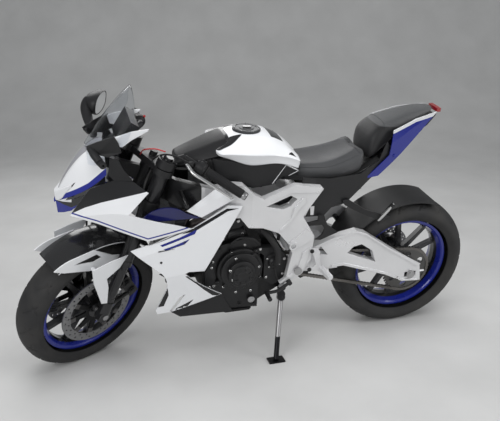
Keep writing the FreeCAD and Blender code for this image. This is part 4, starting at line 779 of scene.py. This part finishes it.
def cushion(name, rings, replaced, material, cap):
    """Padded body: smoothed, remeshed, blown up a little by cloth and smoothed again."""
    points, faces = closed_body(rings)
    made = mesh_object(name, points, faces, material)
    subdivide(made, 3)
    apply_all(made)
    modify(made, "REMESH", mode="VOXEL", voxel_size=PUFF_CELL)
    apply_all(made)
    start = [vertex.co.copy() for vertex in made.data.vertices]
    cloth = made.modifiers.new("cloth", "CLOTH")
    cloth.settings.use_pressure = True
    cloth.settings.uniform_pressure_force = PUFF_PRESSURE
    cloth.settings.effector_weights.gravity = 0
    for number in range(1, PUFF_FRAMES + 1):
        scene.frame_set(number)
    apply_all(made)
    for vertex, home in zip(made.data.vertices, start):
        move = vertex.co - home
        if move.length > cap:
            vertex.co = home + move * (cap / move.length)
    scene.frame_set(1)
    subdivide(made, 1)
    shade_smooth(made.data)
    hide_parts(replaced)


def seam(name, points, target, material, radius=1.3):
    """Welt laid on a surface along bike places, found by the nearest point."""
    tree = surface_of([target])
    path = []
    for spot in smooth_path([at(*point) for point in points], 10):
        hit, normal = tree.find_nearest(spot)[:2]
        path.append(BIKE.inverted() @ (hit + normal * 0.0004) * 1000)
    tube(name, [tuple(spot) for spot in path], radius, material, around=8, steps=1)


def seats():
    rows = (
        (722, 70, 880, 868, 828), (690, 84, 884, 872, 812), (640, 96, 876, 864, 806), (575, 108, 868, 856, 798),
        (500, 120, 864, 852, 795), (440, 127, 868, 857, 794), (370, 124, 886, 875, 802), (305, 114, 914, 903, 816),
        (274, 102, 930, 921, 836),
    )
    rings = [whole([
        (x, half * 0.94, low + 4), (x, half, (low + edge) / 2), (x, half * 0.97, edge - 12), (x, half * 0.78, edge),
        (x, half * 0.35, middle + 3), (x, 0, middle),
    ], low + 2) for x, half, edge, middle, low in rows]
    cushion("rider_cushion", rings, "rider_seat", SEAT, 0.008)
    for side, word in SIDES[::-1]:
        line = [(718, side * 66, 884), (640, side * 86, 878), (575, side * 96, 872), (440, side * 112, 868),
                (330, side * 104, 904), (280, side * 92, 928)]
        seam(f"rider_seam_{word}", line, "rider_cushion", SEAT)
    seam("rider_seam_cross", [(300, -100, 916), (312, 0, 906), (300, 100, 916)], "rider_cushion", SEAT, 1)
    rows = (
        (262, 88, 950, 850), (232, 92, 990, 862), (204, 92, 1006, 888), (160, 88, 1022, 930), (110, 80, 1036, 984),
        (60, 70, 1048, 1004), (10, 56, 1058, 1024), (-52, 36, 1060, 1042),
    )
    rings = [whole([
        (x, half * 0.94, low + 2), (x, half, (low + top) / 2), (x, half * 0.92, top - 10), (x, half * 0.6, top),
        (x, 0, top + 1),
    ], low) for x, half, top, low in rows]
    cushion("pillion_cushion", rings, "pillion_seat", PILLION, 0.005)
    seam("pillion_seam", [(196, -90, 998), (190, -50, 1012), (188, 0, 1014), (190, 50, 1012), (196, 90, 998)],
         "pillion_cushion", PILLION)


def fold(made, count, folds):
    """Crease lines from ring to ring; folds maps a place in the ring to its sharpness."""
    crease = made.data.attributes.new("crease_edge", "FLOAT", "EDGE")
    for edge in made.data.edges:
        first, second = edge.vertices
        if first % count == second % count:
            crease.data[edge.index].value = folds.get(first % count, 0)


def tank():
    """Pressed tank with folded edges along its top and its knee line."""
    rows = (
        (560, 133, 58, 911, 898, 866, 126), (586, 135, 64, 936, 913, 874, 127), (612, 136, 64, 959, 924, 886, 128),
        (642, 134, 62, 976, 930, 896, 128), (682, 140, 66, 994, 942, 902, 128), (731, 148, 70, 1003, 946, 898, 130),
        (787, 151, 68, 1006, 952, 899, 131), (846, 146, 58, 1000, 958, 927, 129), (880, 139, 46, 976, 958, 940, 127),
        (912, 130, 40, 958, 955, 950, 124),
    )
    rings = [whole([
        (x, foot, low), (x, knee * 0.96, shoulder - 12), (x, knee, shoulder),
        (x, (knee + top_half) / 2 + 4, (shoulder + top) / 2 + 6), (x, top_half, top - 6),
        (x, top_half * 0.6, top - 1), (x, 0, top),
    ], low - 4) for x, knee, top_half, top, shoulder, low, foot in rows]
    made = mesh_object("tank_shell", *closed_body(rings), TANK_PAINT)
    fold(made, len(rings[0]), {0: 0.9, 2: 0.7, 4: 0.75, 8: 0.75, 10: 0.7, 12: 0.9})
    subdivide(made, 3)
    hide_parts("fuel_tank")
    tilt = 0.06
    profile = ((0, 0), (0, 57), (9, 57), (10.5, 55), (10.5, 44), (9.5, 43), (9.5, 30), (11, 29), (11.4, 27),
               (11.4, 0))
    cap = lathe("filler_ring", at(762, 0, 998), way_of(-tilt, 0, 1), profile, CAP, around=64)
    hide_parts("filler_cap")
    spots = [(x, y, 1008.4 + tilt * (x - 761)) for x, y in circle(7, 761, 0, 49.5)]
    screws("filler_screws", spots, (-tilt, 0, 1), 3.0, 2.2, STEEL)
    flap = [(746, -8, 1010.4), (774, -8, 1012), (778, 0, 1012.2), (774, 8, 1012), (746, 8, 1010.4), (740, 0, 1010.1)]
    sheet("filler_flap", [at(*spot) for spot in flap], STEEL, 0.003, -1)
    rows = (
        (1052, 60, 40, 890, 922), (1044, 64, 42, 890, 928), (1000, 86, 50, 904, 944), (930, 108, 58, 930, 972),
        (872, 118, 62, 944, 993), (852, 118, 62, 950, 998),
    )
    rings = [whole([
        (x, low_half, low), (x, (low_half + top_half) / 2 + 4, (low + top) / 2), (x, top_half, top - 5), (x, 0, top),
    ], low - 3) for x, low_half, top_half, low, top in rows]
    made = mesh_object("tank_nose", *closed_body(rings), PLASTIC)
    fold(made, 8, {0: 0.9, 1: 0.6, 2: 0.9, 4: 0.9, 5: 0.6, 6: 0.9})
    subdivide(made, 2)
    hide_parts("tank_cover")
    corners = ((687, 808), (628, 894), (571, 863))
    middle = (sum(x for x, z in corners) / 3, sum(z for x, z in corners) / 3)
    inner = [(x + (middle[0] - x) * 0.14, z + (middle[1] - z) * 0.14) for x, z in corners]
    for number in range(3):
        after = (number + 1) % 3
        stripe(f"knee_trim_{number}", (corners[number], corners[after], inner[after], inner[number]), WHITE,
               "tank_base")


def screen():
    """Peaked clear screen."""
    rows = ((1384, 86, 974, 932), (1350, 110, 1030, 934), (1310, 129, 1084, 942), (1255, 137, 1148, 1000),
            (1225, 126, 1178, 1052), (1206, 103, 1195, 1110))
    points = []
    across = 24
    for x, half, top, low in rows:
        for step in range(across + 1):
            turn = math.pi * (step / across - 0.5)
            points.append(at(x, half * math.sin(turn), low + (top - low) * math.cos(turn) ** 0.8))
    made = mesh_object("screen_clear", points, grid(len(rows), across + 1), SCREEN)
    modify(made, "SOLIDIFY", thickness=0.003, offset=-1)
    subdivide(made, 2)
    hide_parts("wind_screen")


# Mirrors

def mirrors():
    """Panels at the screen's foot; the right one carries the mirror, the left one a stub."""
    outline = ((1385, 95, 1008), (1346, 108, 1028), (1285, 125, 1052), (1270, 131, 1025), (1263, 132, 990),
               (1311, 126, 973), (1348, 114, 984))
    edge = ((1290, 123, 1046), (1225, 116, 1062), (1160, 108, 1066), (1163, 108, 1057), (1224, 115, 1029),
            (1258, 119, 1007), (1280, 123, 1010))
    for side, word in SIDES:
        sheet(f"mirror_panel_{word}", [at(x, side * y, z) for x, y, z in outline], PLASTIC, 0.006, side, 0.0015)
        tube(f"mirror_arm_{word}", [(1374, side * 100, 1004), (1358, side * 124, 984), (1342, side * 148, 968)],
             (9, 15, 14), PLASTIC, around=20)
        sheet(f"cockpit_trim_{word}", [at(x, side * y, z) for x, y, z in edge], WHITE, 0.004, side, 0.0012)
    start, end = at(1344, 130, 962), at(1332, 176, 962)
    long = (end - start).length * 1000
    profile = ((-10, 14), (long - 2, 13), (long, 12), (long, 4.2), (long - 1, 4), (long - 18, 4), (long - 18, 0))
    stub = lathe("mirror_stub", start, end - start, profile, METAL, around=32)
    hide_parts("mirror_mount_left")
    tube("mirror_stalk", [(1344, -128, 966), (1350, -176, 984), (1356, -228, 1002), (1358, -266, 1028),
                          (1344, -290, 1048), (1318, -302, 1048)], (15, 17, 20, 22, 24, 20), PLASTIC, around=20)
    centre = Vector((1296, -300, 1037))
    ahead_way = Vector((0.918, -0.371, 0.139)).normalized()
    wide_way = Vector((0.375, 0.927, 0)).normalized()
    high_way = wide_way.cross(ahead_way)

    def oval(depth, wide, high):
        """Squared oval round the mirror's axis."""
        spots = []
        for turn in turns(40):
            across, up = (math.copysign(abs(value) ** 0.8, value) for value in (math.cos(turn), math.sin(turn)))
            spots.append(at(*(centre + ahead_way * depth + wide_way * (wide * across) + high_way * (high * up))))
        return spots

    levels = ((3, 66, 36), (0, 70, 40), (-1, 73, 43), (3, 76, 45), (14, 76, 45), (30, 70, 41), (46, 56, 33),
              (58, 36, 22), (63, 14, 9))
    housing = mesh_object("mirror_housing", *skin([oval(*level) for level in levels], True), PLASTIC)
    modify(housing, "EDGE_SPLIT", split_angle=math.radians(50))
    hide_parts("mirror_right")
    glass = mesh_object("mirror_glass", oval(1.2, 70, 40), [tuple(range(40))], MIRROR, smooth=False)
    modify(glass, "SOLIDIFY", thickness=0.0015, offset=0)


# Bars, controls and lines

def controls():
    for side, word in SIDES:
        root = Vector((1146, side * 122, 962))
        elbow = root + Vector((-54, side * 16, 10))
        start = elbow + Vector((-35, side * 62, -25))
        end = start + Vector((-83, side * 150, -60))
        way = (end - start).normalized()
        profile = [(0, 16.8), (0, 21), (3, 21.5), (6, 19)]
        length = (end - start).length - 22
        rib = 7.0
        while rib < length - 6:
            profile += [(rib, 17.2), (rib + 1.2, 18.4), (rib + 3.2, 18.4), (rib + 4.2, 17.2)]
            rib += 5.4
        profile += [(length, 17.2), (length + 1, 18.5), (length + 2, 16)]
        foot = steered(*(start + way * 20))
        direction = way_of(*way, steered)
        lathe(f"grip_{word}", foot, direction, profile, SOFT, "steering", 28)
        weight = ((0, 0), (0, 15), (2, 16), (13, 16), (17, 13), (19, 8), (19, 0))
        lathe(f"bar_end_{word}", steered(*end), direction, weight, STEEL, "steering", 28)
        lever_root = start - way * 30 + Vector((36, 0, 10))
        line = [lever_root - way * 4, lever_root + way * 24 + Vector((14, 0, 0)),
                lever_root + way * 50 + Vector((24, 0, 0)), lever_root + way * 110 + Vector((25, 0, 1)),
                end - way * 12 + Vector((56, 0, 8)), end + way * 2 + Vector((57, 0, 8))]
        tube(f"lever_{word}", line, (8.5, 8, 7.6, 7, 7, 8.5), BRIGHT if side > 0 else STEEL, "steering", 14, 0.95)
        box = [start - way * 24, start - way * 10, start + way * 6, start + way * 17]
        tube(f"switch_box_{word}", box, (20, 25.5, 25.5, 20), PLASTIC, "steering", 20)
        cluster = [start - way * 6 + Vector((-19, -8 * side, 17)), start + way * 4 + Vector((-21, -8 * side, 15))]
        for number, spot in enumerate(cluster):
            button = RED if side < 0 and number == 0 else PLASTIC
            lathe(f"switch_{word}_{number}", steered(*spot), way_of(-0.6, 0, 0.8, steered),
                  ((-3, 5), (4, 5), (5.5, 4), (5.5, 0)), button, "steering", 16)
        cup = start - way * 34 + Vector((46, 0, 34))
        if side < 0:
            lathe("brake_cup", steered(*cup), way_of(0, 0, 1, steered),
                  ((-26, 0), (-26, 17), (0, 19), (2, 21), (8, 21), (10, 19), (10, 0)), PLASTIC, "steering", 28)


def lines():
    """Hoses and cables, each within one moving group."""
    tube("brake_hose_left", [(1180, 60, 905), (1240, 100, 880), (1282, 128, 800), (1316, 131, 700), (1345, 128, 600),
                             (1340, 118, 500), (1322, 108, 420)], 4.2, SOFT, "steering", 10)
    tube("brake_hose_right", [(1150, -130, 950), (1205, -150, 900), (1270, -134, 800), (1316, -131, 700),
                              (1345, -128, 600), (1340, -118, 500), (1322, -108, 420)], 4.2, SOFT, "steering", 10)
    tube("clutch_cable", [(1092, 190, 962), (1112, 170, 980), (1132, 128, 986), (1150, 80, 970), (1164, 40, 930),
                          (1170, 24, 880)], 3.6, SOFT, "steering", 10)
    tube("switch_wires", [(1070, 182, 944), (1110, 150, 934), (1150, 104, 930), (1176, 60, 900), (1176, 40, 860)],
         4.5, SOFT, "steering", 10)
    tube("red_wire", [(1150, 96, 992), (1180, 70, 1000), (1200, 30, 980), (1192, 0, 940)], 2.4, RED, "steering", 8)
    tube("engine_hose", [(1060, 120, 640), (1010, 134, 600), (960, 132, 560), (930, 126, 500)], (13, 13, 13, 12),
         SOFT, around=16)
    tube("case_breather", [(640, 128, 560), (650, 150, 600), (690, 150, 640), (740, 140, 660)], (7, 7, 7, 6), SOFT)
    tube("stand_wire", [(600, 150, 330), (640, 162, 380), (656, 156, 440), (640, 150, 500)], 2.6, SOFT, around=8)


def on_surface(names, places, side):
    """Bike places on the side of some pieces, under (x, z) points."""
    outer = surface_of(names)
    spots = []
    for x, z in places:
        start = at(x, side * 400, z)
        hit = outer.ray_cast(start, at(x, 0, z) - start)[0]
        if hit is not None:
            spots.append(tuple(BIKE.inverted() @ hit * 1000))
    return spots


def bolts(name, sources, places, side, radius, height, sunk, material=BRIGHT):
    """Screws on the side surface of some pieces, sunk into it by a few mm."""
    spots = [(x, y - side * sunk, z) for x, y, z in on_surface(sources, places, side)]
    screws(name, spots, (0, side, 0), radius, height, material)


COVER_BOLTS = ((926, 470), (919, 491), (846, 535), (830, 510), (787, 555), (744, 530), (856, 467), (730, 461),
               (845, 421), (900, 398), (915, 379), (872, 363), (817, 329), (934, 376), (752, 328), (722, 403))


def domed(name, x, z, radius, foot, rise, body_side):
    """Cast cover: a rounded drum with ribs, standing on the engine's side."""
    shape = ((0, 1), (0.42, 1), (0.5, 0.965), (0.54, 0.9), (0.55, 0.8), (0.74, 0.76), (0.84, 0.7), (0.92, 0.6),
             (0.94, 0.48), (0.95, 0.43), (1, 0.4), (1, 0.3), (0.97, 0.27), (0.97, 0))
    profile = [(rise * height, radius * reach) for height, reach in shape]
    lathe(name, at(x, body_side * foot, z), way_of(0, body_side, 0), profile, ENGINE, around=72)
    ribs = 8
    rib_half = 1.6
    points = []
    faces = []
    for number in range(ribs):
        turn = 2 * math.pi * (number + 0.4) / ribs
        across = Vector((math.cos(turn), 0, math.sin(turn)))
        beside = Vector((-math.sin(turn), 0, math.cos(turn)))
        base = len(points)
        for reach, height in ((0.46, 0.95), (0.62, 0.93), (0.78, 0.72), (0.8, 0.55), (0.46, 0.55)):
            for half in (-rib_half, rib_half):
                spot = Vector((x, body_side * (foot + rise * height + 2.2), z))
                points.append(at(*(spot + across * (reach * radius) + beside * half)))
        faces += grid(5, 2, base) + [tuple(range(base, base + 10, 2)), tuple(range(base + 9, base, -2))]
    mesh_object(name + "_ribs", points, faces, ENGINE, smooth=False)


def engine_details():
    """Starter, water pump, sight glass and hoses on the engine's left side."""
    outward = way_of(0, 1, 0)
    can = [(0, 0), (0, 20), (4, 24), (8, 24.5), (10, 23), (58, 23), (60, 25), (64, 25), (66, 23), (74, 21), (78, 14),
           (78, 8), (84, 7), (84, 0)]
    lathe("starter_can", at(862, 118, 604), way_of(-1, 0, 0.12), can, ENGINE, around=40)
    cover = [(0, 0), (0, 36), (5, 36), (7, 33), (8, 26), (14, 24), (20, 20), (24, 15), (30, 14), (30, 11), (27, 10),
             (27, 0)]
    lathe("pump_cover", at(664, 147, 470), outward, cover, ENGINE)
    spots = [(664 + 31 * math.cos(turn), 151, 470 + 31 * math.sin(turn)) for turn in (0.5, 2.1, 3.7, 5.3)]
    screws("pump_screws", spots, (0, 1, 0), 4.2, 4, BRIGHT)
    glass = ((0, 0), (0, 15), (4, 15), (5, 13), (5, 10), (3.5, 9.5), (3.5, 0))
    lathe("sight_glass", at(752, 152, 292), outward, glass, STEEL, around=32)
    tube("pump_hose", [(664, 168, 470), (656, 182, 488), (660, 178, 540), (690, 160, 590), (722, 140, 624)],
         (12, 13, 13, 13, 12), SOFT, around=18)
    tube("oil_pipe", [(724, 150, 556), (760, 158, 590), (812, 152, 598), (852, 146, 570)], 5, METAL)
    places = ((618, 400), (614, 474), (646, 522), (722, 532), (690, 392))
    bolts("sprocket_screws", ["sprocket_cover"], places, 1, 4.8, 4, 0)


WINDOW = ((726, 747), (620, 787), (584, 765), (612, 732), (648, 720))


def frame_shades():
    """Black plates behind the windows of the frame: painted shade, standing in for the dark seen through them."""
    for side, word in SIDES:
        sheet(f"frame_liner_{word}", [at(x, side * 136, z) for x, z in WINDOW], PLASTIC, 0.004, -side)


def passenger_rests():
    for side, word in SIDES:
        route = [(198, side * 144, 610), (188, side * 154, 634), (174, side * 168, 668), (159, side * 180, 703)]
        tube(f"passenger_rest_{word}", route, (10, 11.5, 11, 4), BRIGHT, around=16, flat=0.7)


def fasteners():
    domed("generator_dome", 803, 437, 60, 156, 40, 1)
    domed("clutch_dome", 745, 440, 96, 150, 34, -1)
    head = ((800, 612), (880, 592), (904, 646), (818, 668), (838, 716))
    bolts("cover_screws", ["generator_cover", "engine_case"], COVER_BOLTS, 1, 5.2, 5, 4)
    bolts("head_screws", ["cylinder_head", "engine_case"], head, 1, 5, 4, 0)
    bolts("clutch_screws", ["clutch_cover"], circle(9, 745, 440, 108), -1, 5.2, 5, 4)
    rest = [(510, 191, 520), (514, 191, 431)]
    screws("footrest_screws", rest, (0, 1, 0), 7, 4, METAL)
    screws("footrest_screws_right", [(x, -y, z) for x, y, z in rest], (0, -1, 0), 7, 4, METAL)
    panel = ((1050, 640), (905, 742), (1140, 560), (960, 420))
    for side, word in SIDES:
        bolts(f"panel_screws_{word}", ["side_panels"], panel, side, 4.2, 2, 0, METAL)


def graphics():
    """Plain stripes and wedges."""
    stripe("slash_dark", ((1160, 640), (1040, 684), (990, 716), (1046, 690), (1166, 646)), GREY)
    stripe("slash_blue", ((1134, 628), (1010, 672), (1000, 690), (1070, 660), (1142, 634)), BLUE)
    stripe("slash_low", ((1120, 612), (1050, 632), (1030, 652), (1090, 630), (1130, 618)), BLUE)
    stripe("slash_thin", ((1150, 606), (1086, 616), (1150, 612)), GREY)
    stripe("side_bevel", ((836, 756), (883, 758), (1014, 694), (1060, 674), (1010, 682), (880, 748)), GLOSS)
    stripe("duct_mouth", ((1190, 336), (1184, 499), (1150, 510), (1119, 457), (1112, 400), (1131, 345)), GLOSS,
           cell=2.5)
    stripe("lower_slit", ((1098, 281), (1080, 325), (1010, 360), (1041, 319), (1075, 286)), GLOSS)
    stripe("side_mouth", ((1047, 486), (988, 491), (960, 485), (880, 430), (884, 352), (931, 366), (967, 402),
                          (1001, 440)), GLOSS, cell=2.0)
    stripe("light_strip", ((1470, 778), (1440, 822), (1400, 850), (1345, 884), (1338, 862), (1400, 806)), GLASS,
           "front_duct")


# Floor, lamps and camera

def studio():
    """Floor that curves up into a wall behind the motorcycle."""
    half_width = 14.0
    reach_back = 3.6
    corner = 2.2
    steps = 16
    profile = [(-half_width, 0), (reach_back, 0)]
    for step in range(1, steps + 1):
        turn = math.pi / 2 * step / steps
        profile.append((reach_back + corner * math.sin(turn), corner * (1 - math.cos(turn))))
    profile.append((reach_back + corner, 9.0))
    heading = math.radians(16.5)
    view_back = Vector((-math.sin(heading), -math.cos(heading), 0))
    across = Vector((-view_back.y, view_back.x, 0))
    points = [view_back * reach + across * side + UP * height
              for reach, height in profile for side in (-half_width, half_width)]
    floor_mesh = mesh_of("floor", points, grid(len(profile), 2))
    material, tree, shader = graph("studio_floor")
    grain = ramp(tree, noise(tree, 3, 6), 0, 1, 0.3, 0.7)
    fill(tree, shader, {"Base Color": mix(tree, grain, (0.62, 0.62, 0.615), (0.56, 0.56, 0.555)),
                        "Roughness": 0.6, "Specular IOR Level": 0.3})
    bump(tree, shader, noise(tree, 240, 2), 0.05)
    floor_mesh.materials.append(material)
    floor = placed("floor", floor_mesh)
    floor.location.z = min(cad_low.z, 0) - 0.0002


def lamp(name, place, target, width, height, power):
    """Area light; the ceiling's one shows no reflection."""
    data = bpy.data.lights.new(name, "AREA")
    data.shape = "RECTANGLE"
    data.size = width
    data.size_y = height
    data.energy = power
    made = placed(name, data)
    made.visible_glossy = name != "ceiling"
    made.location = place
    made.rotation_euler = (Vector(target) - Vector(place)).to_track_quat("-Z", "Y").to_euler()


def lights():
    lamp("ceiling", (0.2, 0.9, 3.6), (0, 0, 0.4), 3.6, 2.4, 80)
    lamp("front_left", (2.6, 2.6, 2.0), (0.1, 0, 0.6), 1.8, 1.6, 45)
    lamp("rear_left", (-2.8, 2.2, 1.8), (-0.1, 0, 0.6), 1.6, 1.6, 40)
    lamp("right_fill", (0, -3.0, 2.6), (0, 0, 0.6), 3.0, 1.6, 40)
    world = bpy.data.worlds.new("studio")
    world.use_nodes = True
    background = world.node_tree.nodes["Background"]
    background.inputs["Color"].default_value = (0.86, 0.88, 0.9, 1)
    background.inputs["Strength"].default_value = 0.36
    scene.world = world


PHOTO_WIDTH = 500
FOCAL_PIXELS = 654.95
SENSOR = 36


def camera():
    """View of the photograph, solved from the wheels and the ground."""
    data = bpy.data.cameras.new("photo_view")
    data.sensor_width = SENSOR
    data.lens = FOCAL_PIXELS / PHOTO_WIDTH * SENSOR
    made = placed("photo_view", data)
    eye = Vector((0.7875, 2.5509, 1.4447))
    yaw = math.radians(-106.485)
    pitch = math.radians(-17.273)
    roll = math.radians(-0.04)
    forward = Vector((math.cos(pitch) * math.cos(yaw), math.cos(pitch) * math.sin(yaw), math.sin(pitch)))
    right = forward.cross(UP).normalized()
    up = right.cross(forward)
    turned = right * math.cos(roll) + up * math.sin(roll)
    up = up * math.cos(roll) - right * math.sin(roll)
    turn = Matrix((turned, up, -forward)).transposed()
    made.matrix_world = Matrix.Translation(eye) @ turn.to_4x4()
    scene.camera = made


camera()
studio()
lights()
scene.view_settings.view_transform = "Standard"

tyre("front_tyre_road", "front_wheel", front_axle, Vector(joints["front_wheel_spin"]["axis"]), 219, 81, 60)
tyre("rear_tyre_road", "rear_wheel", rear_axle, side_axis, 219, 96, 90)

screen()
mirrors()
tank()
seats()
controls()
lines()
engine_details()
frame_shades()
passenger_rests()
fasteners()
graphics()
